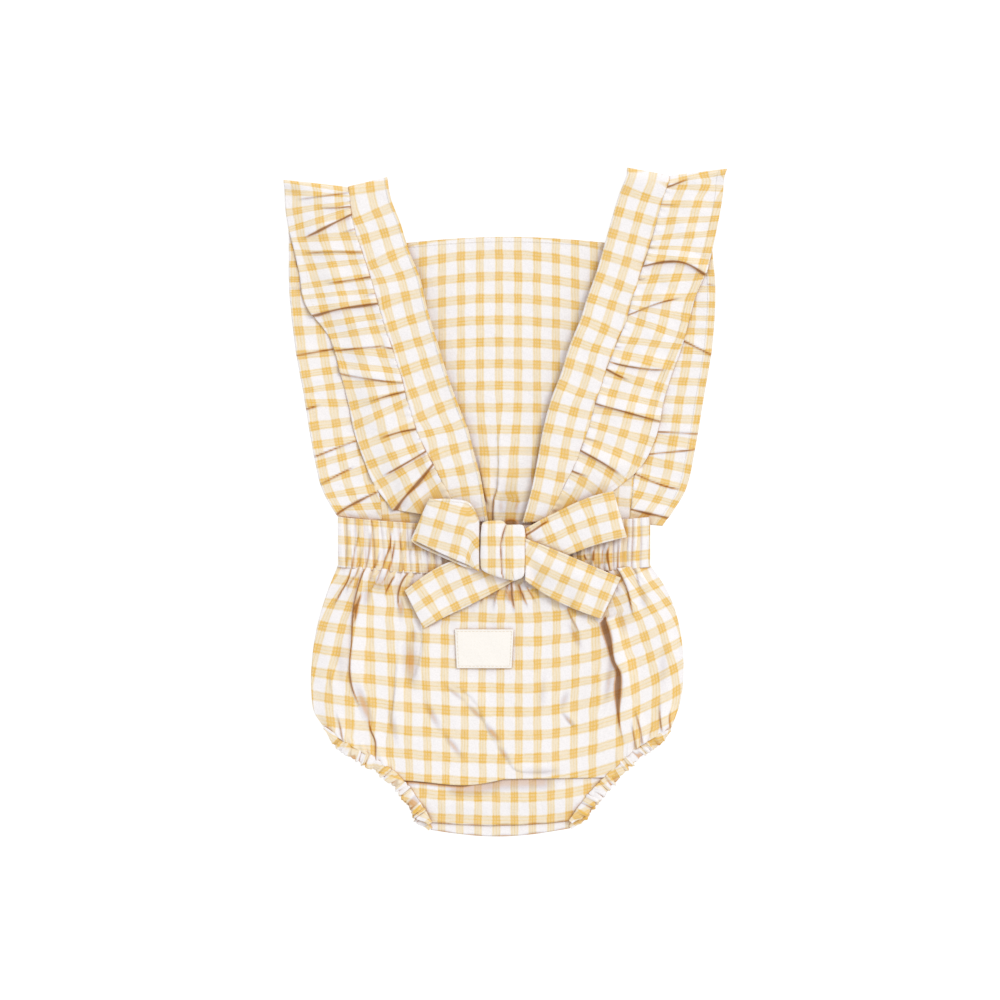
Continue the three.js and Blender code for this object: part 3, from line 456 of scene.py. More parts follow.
WAIST_CREASES = [
    Crease([(-99, -42), (-98.6, -30), (-96.5, -20)], 0.5, 3, 0.3, 1, 0.4, (0.02, 0.5)),
    Crease([(-95.4, -42), (-94.3, -33), (-91.5, -22), (-90.5, -13)], 0.7, 3, 0.3, 1, 0.75, (0.02, 0.4)),
    Crease([(-90.7, -42), (-89, -32), (-87, -20)], 0.5, 3, 0.3, 1, 0.4, (0.02, 0.5)),
    Crease([(-86.7, -42), (-84.5, -32), (-83.5, -15)], 0.5, 3, 0.3, 1, 0.55, (0.02, 0.2)),
    Crease([(-81.2, -42), (-79, -35), (-77, -26)], 0.6, 3, 0.3, 1, 0.6, (0.02, 0.6)),
    Crease([(-76.6, -43), (-74.5, -36.5), (-71.6, -27.7), (-70.9, -15)], 0.9, 3, 0.4, 1, 1.0, (0.02, 0.4)),
    Crease([(-72.4, -43), (-69.6, -33), (-67.7, -20)], 0.8, 3, 0.4, 1, 0.75, (0.02, 0.4)),
    Crease([(-66, -43), (-64.5, -33), (-64, -20)], 0.5, 3, 0.3, 1, 0.4, (0.02, 0.4)),
    Crease([(-58.4, -34), (-57.2, -24)], 0.5, 3, 0.4, 1, 0.7, (0.4, 0.2)),
    Crease([(52.5, -37), (50, -31.5)], 0.5, 3, 0.4, 1, 1.0, (0.4, 0.3)),
    Crease([(56, -38.5), (56.7, -28)], 0.5, 3, 0.4, 1, 1.3, (0.4, 0.3)),
    Crease([(61.5, -40), (62.5, -27)], 0.5, 3, 0.4, 1, 1.0, (0.2, 0.3)),
    Crease([(67, -43), (65.4, -33), (66.6, -24)], 0.8, 3, 0.4, 1, 0.9, (0.02, 0.4)),
    Crease([(72, -43), (72.2, -33), (73, -22.7)], 0.6, 3, 0.4, 1, 0.8, (0.02, 0.3)),
    Crease([(79, -40), (78.2, -30), (79, -18)], 0.4, 3, 0.3, 1, 0.35, (0.3, 0.4)),
    Crease([(44, -40), (43, -32)], 0.6, 3, 0.4, 1, 1.2, (0.2, 0.4)),
]
LOOP_CREASES = [
    Crease([(12.4, -21.5), (18, -18), (26, -12.6), (31, -9.6)], 0.8, 4, 0.5, 1, 1.3, (0.1, 0.35)),
    Crease([(13, -22.5), (20, -24.8), (28, -22.8)], 0.6, 5, 0.4, 1, 0.9, (0.1, 0.4)),
]

# The waistband's two sides: underside at the middle and at the ends, gathers, creases and cells
Band = namedtuple("Band", "level end_level pitch depth creases cells")
FRONT_BAND = Band(FRONT_LEVEL, FRONT_LEVEL, 12, 0.5, [], 220)
BACK_BAND = Band(BAND_LEVEL, BAND_LEVEL - 0.7, WAIST_PITCH, WAIST_DEPTH, WAIST_CREASES, 520)

# The bloomers' two panels: creases, hollows, underside at the middle and at the side seams, share
# of the gathers' depth, the cloth's width and length, and how coarse its cells are
Panel = namedtuple("Panel", "creases hollows level side_level relief cut coarseness")
FRONT_PANEL = Panel(FRONT_CREASES, [], FRONT_LEVEL, FRONT_LEVEL, 0.6, (232, 150), 1.6)
BACK_PANEL = Panel(BACK_CREASES, BACK_HOLLOWS, PANEL_LEVEL, SIDE_SEAM_LEVEL, 1.0, (270, 176), 1.0)

# The two crotch flaps: underside at the hem and at the seam, how far the hem bows down and how far
# the flap runs on past the legs, and whether it lies on the back
Flap = namedtuple("Flap", "level seam_level hem_bow overlap on_back")
FRONT_FLAP = Flap(FRONT_LEVEL, FRONT_LEVEL, 4.6, 4.8, False)
BACK_FLAP = Flap(PANEL_LEVEL - 0.4, 2.7, 2.4, 0, True)

# Bow: sections of its strips from the knot outwards, with the height of the strip's underside
Strip = namedtuple("Strip", "top low level")
LEFT_LOOP = [
    Strip((-15.5, -12.5), (-15.5, -41.5), 9.2),
    Strip((-21.5, -1), (-22.5, -40.8), 9.2),
    Strip((-34, 1.8), (-35.6, -35.4), 8.8),
    Strip((-44.5, 2), (-53.5, -27.2), 8.4),
    Strip((-46.8, 3), (-58.5, -23.5), 10.6),
    Strip((-44.5, 2.6), (-55.5, -24), 12.6),
    Strip((-34, 2.6), (-36, -33.2), 13.4),
    Strip((-21.5, 0), (-22.5, -39), 12.8),
    Strip((-15.5, -11), (-15.5, -43), 11.8),
]
RIGHT_LOOP = [
    Strip((13.2, -17), (13.2, -40), 7.6),
    Strip((26, -10), (28, -36.5), 7.6),
    Strip((52, 2.5), (55.5, -26.5), 7.6),
    Strip((65.5, 6.5), (73.5, -21.8), 7.6),
    Strip((68.5, 7.5), (77, -21.5), 9.4),
    Strip((65.5, 7), (73.5, -22.2), 11.2),
    Strip((52, 3.2), (55.5, -27), 11.4),
    Strip((26, -9), (28, -37.5), 11),
    Strip((13.2, -16), (13.2, -42), 10.4),
]
LEFT_TAIL = [
    Strip((-2.5, -28.5), (7, -48.5), 7.4),
    Strip((-21.5, -33.5), (-6, -56), 7.4),
    Strip((-37, -38), (-24, -65.5), 7.4),
    Strip((-50, -45.5), (-38, -72), 7.8),
    Strip((-62.5, -55), (-50.5, -79), 7.4),
]
RIGHT_TAIL = [
    Strip((13.2, -22), (13.2, -48.5), 13.2),
    Strip((26, -27), (26, -57.5), 13.2),
    Strip((38.5, -32), (37, -63.5), 13.0),
    Strip((58, -40.5), (49, -68.5), 8.4),
    Strip((73.5, -47), (61, -73), 6.8),
]

# A strip of the bow: its sections, how high it buckles, how far its lower edge droops, its creases,
# the seed of its waves and its flat size in metres
Tie = namedtuple("Tie", "sections buckle droop creases seed flat")
TIES = {
    "bow_loop_left": Tie(LEFT_LOOP, 0.3, 2.2, [], 61, (0.034, 0.1)),
    "bow_loop_right": Tie(RIGHT_LOOP, 0.3, 1.4, LOOP_CREASES, 62, (0.03, 0.14)),
    "bow_tail_left": Tie(LEFT_TAIL, 0.0, 0.0, [], 63, (0.028, 0.068)),
    "bow_tail_right": Tie(RIGHT_TAIL, 0.8, 4.6, [], 64, (0.031, 0.068)),
}
TIE_WAVE_PITCH = 26
TIE_WAVE_DEPTH = 0.45

KNOT_RISE = 5.76
KNOT_WALL = 0.5
KNOT_OUTLINE = [
    (6.6, -48.6), (12, -45.8), (13, -39), (13.1, -29), (13.1, -19), (11.6, -14.2), (6, -13.8),
    (1.4, -13.6), (-0.6, -11.6), (-6, -11.2), (-13, -12.4), (-14.2, -17), (-14.5, -26), (-14.6, -36),
    (-13.6, -41.6), (-3, -46.4),
]

# The crease down the knot: its places up the page (Y) and across (X)
KNOT_CREASE = [(-48, 0), (-44, -1.4), (-36, -1.8), (-26, -2.2), (-19, -0.6), (-12, 1.6)]

# How far the label lies over its panel's underside, and its edges
LABEL_RISE = 1.0
LABEL_LEFT = -31.0
LABEL_RIGHT = 6.0
LABEL_TOP = -79.5
LABEL_LOW = -104.0


def smooth(value):
    """A soft step: 0 below 0, 1 above 1, and 3x² - 2x³ between."""
    x = np.clip(value, 0, 1)
    return x * x * (3 - 2 * x)


def bump(distance):
    """A cosine hill: 1 at distance 0 and 0 from distance 1 outwards."""
    return 0.5 + 0.5 * np.cos(np.pi * np.clip(np.abs(distance), 0, 1))


def mix(a, b, share):
    """A straight blend from a to b."""
    return a + (b - a) * share


def steep_width(height):
    """Width of the steep side of a lap: wider for a higher lap."""
    return 0.8 + 0.5 * height


def lap_hill(offset, gentle, height):
    """Section of a lap: a cosine hill, wide on its gentle side and narrow on its steep one."""
    return bump(np.where(offset > 0, offset / gentle, offset / steep_width(height)))


def rail(points, shares):
    """Centripetal Catmull-Rom curve through the points, at shares of its count of stretches.

    Each stretch is a cubic with slopes worked out from its neighbours, the steps between points
    being the square roots of their distances. Past its ends the curve's first and last steps repeat.
    """
    points = np.asarray(points, float)
    padded = np.vstack([2 * points[0] - points[1], points, 2 * points[-1] - points[-2]])
    place = np.clip(shares, 0, 1) * (len(points) - 1)
    stretch = np.minimum(place.astype(int), len(points) - 2)
    t = (place - stretch)[..., None]
    a, b, c, d = (padded[stretch + i] for i in range(4))
    before, here, after = (
        np.sqrt(np.linalg.norm(q - p, axis=-1, keepdims=True)) for p, q in ((a, b), (b, c), (c, d))
    )
    start = ((b - a) / before - (c - a) / (before + here)) * here + (c - b)
    end = (c - b) + ((d - c) / after - (d - b) / (here + after)) * here
    return b + start * t + (3 * (c - b) - 2 * start - end) * t**2 + (2 * (b - c) + start + end) * t**3


def even_shares(points, step, fine_from=None):
    """Shares of a rail that put a row about every step along it, and more past one of its points."""
    lengths = np.linalg.norm(np.diff(np.asarray(points, float), axis=0), axis=1)
    steps = np.full(len(lengths), float(step))
    if fine_from is not None:
        steps[fine_from:] *= 0.62
    counts = np.maximum(1, np.round(lengths / steps)).astype(int)
    parts = [(k + np.arange(count) / count) / len(counts) for k, count in enumerate(counts)]
    return np.concatenate(parts + [[1.0]])


def gathers(distance, pitch, depth):
    """Uneven gathers: a cosine wave along a seam whose pitch and depth wander slowly."""
    phase = distance / pitch + 0.16 * np.sin(distance / pitch * 1.7)
    return depth * (0.5 - 0.5 * np.cos(2 * np.pi * phase)) * (0.75 + 0.25 * np.sin(phase * 2.3))


def lengths_along(line):
    """How far each point of a line lies along it."""
    return np.concatenate([[0], np.cumsum(np.linalg.norm(np.diff(line, axis=0), axis=1))])


def undulation(x, y, waves):
    """Gentle unevenness of cloth: the sum of six sine waves in drawn directions and phases."""
    draw = np.random.default_rng(waves.seed)
    total = np.zeros(np.broadcast(x, y).shape)
    for turn, phase, scale in zip(
        draw.uniform(0, math.pi, 6), draw.uniform(0, 2 * math.pi, 6), draw.uniform(0.7, 1.6, 6)
    ):
        along = (x * math.cos(turn) + y * math.sin(turn)) * scale
        total += np.sin(2 * np.pi * along / waves.pitch + phase) / scale
    return total * waves.depth / 3


def painted_shade_line(tuck, past, width):
    """Paints shade under the nearest lip: 0, full shade, on it, 1 from its line's width below it
    and half of that above it.

    A wide line has a hard edge below: the share of its width is raised to a power. A line finer
    than the cloth's cells is drawn wider and fainter.
    """
    wide = np.maximum(width, FINEST_LINE)
    below = np.clip(past / wide, 0, 1) ** (0.9 + 0.5 * np.maximum(width - 1.5, 0))
    near = np.clip(np.where(past > 0, below, -past / (0.4 * wide + 0.3)), 0, 1)
    return np.minimum(tuck, 1 - np.minimum(width / FULL_LINE, 1) * (1 - near))


def lay_hollows(points, tuck, hollows):
    """Presses soft hollows into a surface and paints shade into them: an upright oval each, leaning with
    its height.
    """
    x, y = points[..., 0].copy(), points[..., 1].copy()
    for hollow in hollows:
        up = (y - hollow.y) / hollow.along
        away = np.hypot((x - hollow.x - hollow.lean * (y - hollow.y)) / hollow.across, up)
        points[..., 2] -= hollow.drop * bump(away)
        tuck = np.minimum(tuck, 1 - hollow.tint * bump(away))
    return tuck


def add_creases(points, cloth, tuck, creases):
    """Lays creases into a surface: adds to its points and its cloth coordinates, and paints shade
    under each lip into its attribute of painted shade.

    For each point the nearest place on the crease's route gives the offset to its side and the
    share along it. The height is a cosine hill, wide on the gentle side and narrow on the steep
    one, and it fades towards both ends. The crest leans over the steep side in step with the
    square of its height, and the cloth that the lap hides is taken up there.
    """
    plan = points[..., :2].copy()
    for number, crease in enumerate(creases):
        route = rail(crease.route, np.linspace(0, 1, 25))
        lean = LEAN_SCALE * crease.lean
        line = crease.line * LINE_SCALE
        steep = steep_width(crease.height)
        start = route[:-1]
        run = np.diff(route, axis=0)
        length = np.linalg.norm(run, axis=1)
        right = np.stack([run[:, 1], -run[:, 0]], axis=1) / length[:, None]
        reach = crease.gentle + steep + 26
        low, high = route.min(0) - reach, route.max(0) + reach
        near = np.all((plan > low) & (plan < high), axis=-1)
        away = plan[near][:, None, :] - start
        share = np.clip((away * run).sum(-1) / length**2, 0, 1)
        gap = np.linalg.norm(away - share[..., None] * run, axis=-1)
        pick = gap.argmin(axis=1)
        row = np.arange(len(pick))
        before = lengths_along(route)
        along = (before[pick] + share[row, pick] * length[pick]) / before[-1]
        side = right[pick]
        from_lip = gap[row, pick] * np.where((away[row, pick] * side).sum(-1) < 0, -1, 1)
        fade = smooth(along / crease.ends[0] + 0.02) * smooth((1 - along) / crease.ends[1] + 0.02)
        offset = from_lip - lean * fade
        hill = lap_hill(offset, crease.gentle, crease.height) * fade
        points[near, 2] += crease.height * hill
        points[near, :2] -= side * (lean * hill**2)[:, None]
        past = 0.5 - smooth(-offset / steep)
        spread = np.exp(-((offset / 24) ** 2))
        cloth[near] += side * (crease.hidden * fade * past * spread)[:, None]
        # Painted shade: a line under the lip, uneven along it
        uneven = 0.8 + 0.2 * np.sin(along * before[-1] / 6.5 + 2.1 * number)
        tuck[near] = painted_shade_line(tuck[near], -from_lip, line * fade * uneven)


def lay_along(points, centre):
    """Cloth coordinates of a strip from its own centre line, in mm.

    Across is the distance from the line along its normal. Along is the line's length so far plus
    how far the point lies ahead along the line's direction.
    """
    plan = centre[:, :2]
    step = np.gradient(plan, axis=0)
    ahead = step / np.linalg.norm(step, axis=1, keepdims=True)
    length = lengths_along(centre)
    away = points[..., :2] - plan[:, None, :]
    forward = (away * ahead[:, None, :]).sum(-1)
    normal = np.stack([ahead[:, 1], -ahead[:, 0]], axis=1)
    across = (away * normal[:, None, :]).sum(-1)
    return np.stack([across, length[:, None] + forward], axis=-1)


def lay_over_shoulder(points, centre, front_rows):
    """Cloth coordinates of a strip that folds over the shoulder: of its front, then of its back.

    The back's length begins at the fold.
    """
    front = lay_along(points[:front_rows], centre[:front_rows])
    back = lay_along(points[front_rows:], centre[front_rows:])
    return np.concatenate([front, back])


def cloth_mesh(name, points, cloth, edge, tuck):
    """A mesh of quads through a grid of points in mm, with the cloth's and the edge's coordinates and an
    attribute of painted shade.
    """
    rows, columns = points.shape[:2]
    index = np.arange(rows * columns).reshape(rows, columns)
    faces = np.stack([index[:-1, :-1], index[1:, :-1], index[1:, 1:], index[:-1, 1:]], axis=-1)
    mesh = bpy.data.meshes.new(name)
    mesh.from_pydata((points.reshape(-1, 3) * MM).tolist(), [], faces.reshape(-1, 4).tolist())
    corner = faces.reshape(-1)
    for layer_name, values in (("cloth", cloth), ("edge", edge)):
        layer = mesh.uv_layers.new(name=layer_name)
        layer.data.foreach_set("uv", values.reshape(-1, 2)[corner].astype(np.float32).ravel())
    shade = mesh.attributes.new("tuck", "FLOAT", "POINT")
    shade.data.foreach_set("value", np.clip(tuck, 0, 1).astype(np.float32).ravel())
    mesh.shade_smooth()
    return mesh


def add_piece(node, made, wall, slot="gingham_cotton"):
    """Puts a piece of cloth into the scene with its wall, material, body and node."""
    material, word = SLOTS[slot]
    name = f"{node}_{word}"
    mesh = cloth_mesh(name, *made)
    mesh.materials.append(bpy.data.materials[material])
    piece = bpy.data.objects.new(name, mesh)
    bpy.context.scene.collection.objects.link(piece)
    shell = piece.modifiers.new("wall", "SOLIDIFY")
    shell.thickness = wall * MM
    shell.offset = 0
    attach(piece, "root")
    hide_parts(node)


def edge_from(run, distance):
    """Edge coordinates: how far along an edge, and how far inside its line of stitches, in mm."""
    return np.stack(np.broadcast_arrays(run, distance), axis=-1)


def plain_edge(run, across):
    """Edge coordinates of a piece without a line of stitches."""
    return edge_from(run, np.full(np.shape(across), NO_STITCH))


def shoulder_points(side, name):
    """The plan points of a strip's rail: up the front, over the shoulder and down the back."""
    return [getattr(section, name) for section in (*side.front, side.shoulder, *side.back)]


def shoulder_rail(side, name, wall, shares):
    """A strip's rail through its plan points, at the height of the layer it lies in."""
    low = FRONT_LEVEL + wall / 2
    high = STRAP_LEVEL + wall / 2
    levels = [low] * len(side.front) + [(low + high) / 2] + [high] * len(side.back)
    return rail([(*point, level) for point, level in zip(shoulder_points(side, name), levels)], shares)


def fold_share(side):
    """The share of a shoulder rail at which the strip folds over."""
    return len(side.front) / (len(side.front) + len(side.back))


def strap(side, wall, cell):
    """A strap: a straight blend from its inner edge to its seam, along both rails.

    Its inner edge stands a little off the bib halfway down the back.
    """
    shares = even_shares(shoulder_points(side, "inner"), cell)
    inner = shoulder_rail(side, "inner", wall, shares)
    seam = shoulder_rail(side, "seam", wall, shares)
    v = np.linspace(0, 1, STRAP_CELLS)[None, :]
    points = mix(inner[:, None], seam[:, None], v[..., None])
    fold = fold_share(side)
    on_back = smooth((shares - fold) * 20)[:, None]
    points[..., 2] += undulation(points[..., 0], points[..., 1], STRAP_WAVES) * on_back
    points[..., 2] += 2.0 * (1 - v) ** 2 * bump((points[..., 1] - 105) / 70) * on_back
    points[..., 2] = np.maximum(points[..., 2], wall / 2)
    cloth = lay_over_shoulder(points, inner, np.count_nonzero(shares < fold))
    edge = edge_from(cloth[..., 1], np.abs(cloth[..., 0]) - STRAP_STITCH)
    cloth[..., 0] = (np.abs(cloth[..., 0]) - side.columns.strap_column) * CHECK_ACROSS / STRAP_ACROSS
    cloth[..., 1] = (cloth[..., 1] - side.columns.strap_row) * CHECK_ALONG / STRAP_ALONG
    return points, cloth, edge, np.ones(points.shape[:2])


def row_count(y, v, rows):
    """How many rows of the check lie above each point: each row is a line from the seam to the rim."""
    count = np.empty(y.shape)
    for k, share in enumerate(v[0]):
        lines = [-mix(row.seam, row.rim, share) for row in rows]
        count[:, k] = np.interp(-y[:, k], lines, np.arange(len(rows)))
    return count


def ruffle(side, wall, cell):
    """A ruffle: a blend from the seam to the rim with laps, puckers at the seam and soft waves.

    A lap rises slowly from the shoulder's side, and its crest leans over a short drop on the
    waist's side, with shade painted under its lip and in the puckers' valleys. The back's rim
    droops onto the layer below it.
    """
    shares = even_shares(shoulder_points(side, "rim"), cell, fine_from=len(side.front))
    seam = shoulder_rail(side, "seam", wall, shares)
    rim = shoulder_rail(side, "rim", wall, shares)
    v = np.linspace(0, 1, RUFFLE_CELLS)[None, :]
    width = np.linalg.norm(rim - seam, axis=1)[:, None]
    points = mix(seam[:, None], rim[:, None], mix(-0.4 / width, 1, v)[..., None])
    fold = fold_share(side)
    calm = smooth(np.abs(shares - fold) * 22 - 0.5)[:, None]
    tuck = np.ones(points.shape[:2])
    y = points[..., 1].copy()
    run = lay_along(points, seam)
    lift = np.zeros(y.shape)
    shift = np.zeros(y.shape)
    count = np.zeros(y.shape)
    on_back = (shares >= fold)[:, None]
    for here, strength, laps, rows in (
        (~on_back, 0.5, side.front_laps, side.front_rows), (on_back, 1.0, side.back_laps, side.back_rows),
    ):
        count += here * row_count(y, v, rows)
        for number, lap in enumerate(laps):
            lip = mix(lap.seam, lap.rim, v) + lap.bow * np.sin(np.pi * v)
            spread = smooth((v - lap.begin) / 0.2) * smooth((lap.end - v) / 0.3) * here * calm
            lean = LAP_LEAN * lap.height
            offset = y - lip - lean * spread
            hill = lap_hill(offset, LAP_RUN, lap.height) * spread
            lift = np.maximum(lift, strength * lap.height * hill)
            shift = np.maximum(shift, lean * hill**2)
            uneven = 0.8 + 0.2 * np.sin(9 * v + 1.7 * number)
            tuck = painted_shade_line(tuck, lip - y, LINE_SCALE * lap.line * spread * uneven)
    pucker = gathers(run[..., 1], PUCKER_PITCH, 1.0) * smooth(1 - v / 0.2) * smooth(v / 0.02)
    rolling = undulation(run[..., 1], run[..., 0], RUFFLE_WAVES) * smooth(v / 0.4)
    points[..., 2] += (lift * smooth(v / 0.06 + 0.3) + pucker + np.maximum(rolling, -0.3)) * calm
    points[..., 2] -= RIM_DROOP * smooth((v - 0.4) / 0.6) * on_back * calm
    points[..., 2] += 0.5 * smooth(1 - v / 0.14) * calm
    points[..., 1] -= shift
    points[..., 2] = np.maximum(points[..., 2], wall / 2)
    # Painted shade in the puckers' valleys along the seam, fading out across the ruffle
    valley = gathers(run[..., 1] + 1.1, PUCKER_PITCH, 1.0)
    tuck = np.minimum(tuck, 0.55 + 2.6 * valley + 6 * v + 0.3 * np.sin(run[..., 1] / 3.1) ** 2)
    to_rim = (1 - v) * width
    from_seam = np.abs(run[..., 0]) - side.columns.from_seam
    across = np.where(on_back, from_seam, to_rim - side.columns.from_rim)
    cloth = np.stack([across * CHECK_ACROSS / RUFFLE_ACROSS, count * CHECK_ALONG], axis=-1)
    return points, cloth, edge_from(run[..., 1], to_rim - RUFFLE_HEM), tuck


def band_top(x):
    """Height on the page of the waistband's top edge, which sags to its middle."""
    share = np.clip((x - WAIST_LEFT) / (WAIST_RIGHT - WAIST_LEFT), 0, 1)
    return WAIST_TOP - WAIST_SAG * np.sin(np.pi * share)


def waist_wave(along, pitch, depth):
    """The waist's gathers, which run on from the band into the panels."""
    return gathers(along, pitch, depth) + gathers(1.7 * along + 3, pitch * 0.9, 0.4 * depth)


def waistband(band, wall):
    """The waistband: gathers across an elastic channel, low at both ends.

    The gathers bend a little on their way down. The cloth is wider than the band by them, its rows
    of checks step down from the left half to the right half, and the valleys of the side that
    shows get painted shade by a high power of a cosine.
    """
    x = np.linspace(WAIST_LEFT, WAIST_RIGHT, band.cells)[:, None]
    v = np.linspace(0, 1, BAND_CELLS)[None, :]
    inside = smooth(np.minimum(x - WAIST_LEFT, WAIST_RIGHT - x) / SIDE_ROLL)
    bend = 0.8 * np.sin(2.9 * (1 - v) + 0.11 * x) * (1 - v) + 2.2 * (0.5 - v) * smooth((-20 - x) / 40)
    along = x - WAIST_LEFT + bend
    wave = waist_wave(along, band.pitch, band.depth) * (0.3 + 0.7 * inside)
    z = mix(band.end_level, band.level, inside) + wall / 2 + wave
    turn = 2 * np.pi * along / band.pitch
    down = mix(-1.2, WAIST_HEIGHT + 0.9, v)
    points = np.stack(np.broadcast_arrays(x, band_top(x) - down, z), -1)
    to_right = smooth((x + 20) / 40)
    rows = (down - BAND_STEP * to_right) / mix(BAND_ALONG_LEFT, BAND_ALONG_RIGHT, to_right)
    across = BAND_FULLNESS * (x - BAND_COLUMN) + 1.1 * np.cos(turn)
    cloth = np.stack(np.broadcast_arrays(across, rows * CHECK_ALONG), -1)
    tuck = np.ones(points.shape[:2])
    # Painted shade in the gathers' valleys, on the back band only
    if band.creases:
        valley = 0.5 + 0.5 * np.cos(turn + 0.4 * np.sin(x / 3))
        strength = 0.75 + 0.25 * np.sin(x / 7.3 + 2) * np.cos(v * 3 + x / 5)
        tuck -= 0.4 * valley**5 * strength
    add_creases(points, cloth, tuck, band.creases)
    return points, cloth, plain_edge(x, v), tuck


def side_at(sections, y):
    """X of a strap's inner edge at a height on the page."""
    edge_x, edge_y = zip(*(section.inner for section in sections))
    return np.interp(y, edge_y, edge_x)


def bib(wall, cell):
    """The bib: a blend from its left to its right side, under a crowned top edge."""
    u = np.linspace(0, 1, round(BIB_WIDTH / cell))[None, :]
    v = np.linspace(0, 1, round(BIB_HEIGHT / cell))[:, None]
    top = BIB_TOP + BIB_CROWN * np.sin(np.pi * u)
    y = mix(top, band_top(mix(BIB_LOW_LEFT, BIB_LOW_RIGHT, u)), v)
    x = mix(side_at(LEFT_FRONT, y) + BIB_SIDE_GAP, side_at(RIGHT_FRONT, y) - BIB_SIDE_GAP, u)
    z = wall / 2 + 0.4 + undulation(x, y, BIB_WAVES)
    points = np.stack([x, y, z], axis=-1)
    points[..., 2] += gathers(x * 1.4, 9, 1.0) * smooth((14 - y) / 40)
    cloth = bib_cloth(x, y)
    # Painted shade under the creases' lips and in the hollows
    tuck = np.ones(x.shape)
    add_creases(points, cloth, tuck, BIB_CREASES)
    tuck = lay_hollows(points, tuck, BIB_HOLLOWS)
    return points, cloth, edge_from(x, top - y - BIB_HEM), tuck


def bib_cloth(x, y):
    """Cloth coordinates of the bib: its rows droop towards the sides with the square of X.

    Right of the middle its columns lean inwards low down, as the cloth is drawn in there.
    """
    droop = 5.0 * ((x + 3) / 50) ** 2 * smooth((y - 10) / 130)
    lean = 0.1 * np.clip(x - 8, 0, 20) * smooth((90 - y) / 60) * (90 - y) / 90
    return np.stack([x - BIB_COLUMN - lean, BIB_ROW - droop - y], axis=-1)


def crotch_seam(share):
    """The seam between a panel and its crotch piece: a straight line with a small dip."""
    left = rail(LEFT_LEG, np.array(CROTCH_SHARE))
    right = rail(RIGHT_LEG, np.array(CROTCH_SHARE))
    share = np.clip(share, 0, 1)
    point = mix(left, right, share[..., None])
    point[..., 1] -= 4.5 * np.sin(np.pi * share) * np.sin(np.pi * np.clip(2 * share, 0, 1))
    return point


def lower_edge(u):
    """A panel's lower edge: down the left leg, along the crotch seam and up the right leg."""
    scale = CROTCH_SHARE / LEG_SHARE
    left = rail(LEFT_LEG, u * scale)
    right = rail(RIGHT_LEG, (1 - u) * scale)
    middle = crotch_seam((u - LEG_SHARE) / (1 - 2 * LEG_SHARE))
    return np.where((u < LEG_SHARE)[:, None], left, np.where((u > 1 - LEG_SHARE)[:, None], right, middle))


def panel_plan(u, v):
    """A blend of the panel's four edges, as a grid of plan points."""
    x = mix(WAIST_LEFT, WAIST_RIGHT, u)
    top = np.stack([x, band_top(x) - WAIST_HEIGHT + 0.6], axis=-1)
    low = lower_edge(u)
    plan = mix(top[:, None], low[:, None], v[None, :, None])
    for side, end, weight in ((LEFT_SIDE, 0, 1 - u), (RIGHT_SIDE, -1, u)):
        straight = mix(top[end], low[end], v[:, None])
        plan += weight[:, None, None] * (rail(side, v) - straight)[None]
    return plan


def panel_cloth(x, y):
    """Cloth coordinates of a bloomer panel.

    Rows rise to both sides with the square of the distance from the middle, more steeply to the
    right. Columns lean outwards near the sides, more at the waist and less at the legs.
    """
    rise = np.where(x > 9.5, 20.8 * ((x - 9.5) / 85.7) ** 2, 9.5 * ((9.5 - x) / 123) ** 2)
    fan = np.interp(x, FAN_X, FAN_LEAN)
    fan = fan * (1 + 1.1 * smooth((y + 84) / 40)) * (1 - 0.7 * smooth((-100 - y) / 45))
    across = (x + fan * (y - FAN_LEVEL) - PANEL_COLUMN) * CHECK_ACROSS / PANEL_ACROSS
    return np.stack([across, (PANEL_ROW + rise - y) * CHECK_ALONG / PANEL_ALONG], axis=-1)


def bloomer(panel, wall, cell):
    """A bloomer panel: a blend of its four edges, puffed, with gathers at the waist and legs."""
    u, v = (np.linspace(0, 1, round(size / (panel.coarseness * cell))) for size in panel.cut)
    plan = panel_plan(u, v)
    x, y = plan[..., 0], plan[..., 1]
    width = np.linalg.norm(rail(LEFT_SIDE, v) - rail(RIGHT_SIDE, v), axis=-1)[None, :]
    inside = smooth(np.minimum(u, 1 - u)[:, None] * width / SIDE_ROLL)
    u, v = u[:, None], v[None, :]
    along = u * (WAIST_RIGHT - WAIST_LEFT)
    waist = waist_wave(along, WAIST_PITCH, WAIST_DEPTH) * smooth(1 - v / 0.2)
    waist = waist + gathers(along * 1.1, 13, 0.8) * smooth(1 - v / 0.5) * smooth(v / 0.05)
    near_leg = smooth((np.abs(u - 0.5) - 0.5 + LEG_SHARE) * 12) * smooth(1 - (1 - v) / 0.13)
    leg = (gathers(along * 1.06, 8.2, 1.2) + gathers(along * 2.1, 9.1, 0.5)) * near_leg
    relief = panel.relief * (np.maximum(waist, leg) + undulation(x, y, PANEL_WAVES))
    z = mix(panel.side_level, panel.level, inside) + wall / 2 + relief * inside
    points = np.concatenate([plan, np.broadcast_to(z, x.shape)[..., None]], axis=-1)
    cloth = panel_cloth(x, y)
    cloth[..., 0] += 0.9 * np.cos(2 * np.pi * along / WAIST_PITCH) * smooth(1 - v / 0.16)
    # Painted shade under the creases' lips and in the hollows
    tuck = np.ones(x.shape)
    add_creases(points, cloth, tuck, panel.creases)
    tuck = lay_hollows(points, tuck, panel.hollows)
    points[..., 2] = np.maximum(points[..., 2], wall / 2)
    return points, cloth, plain_edge(along, v), tuck


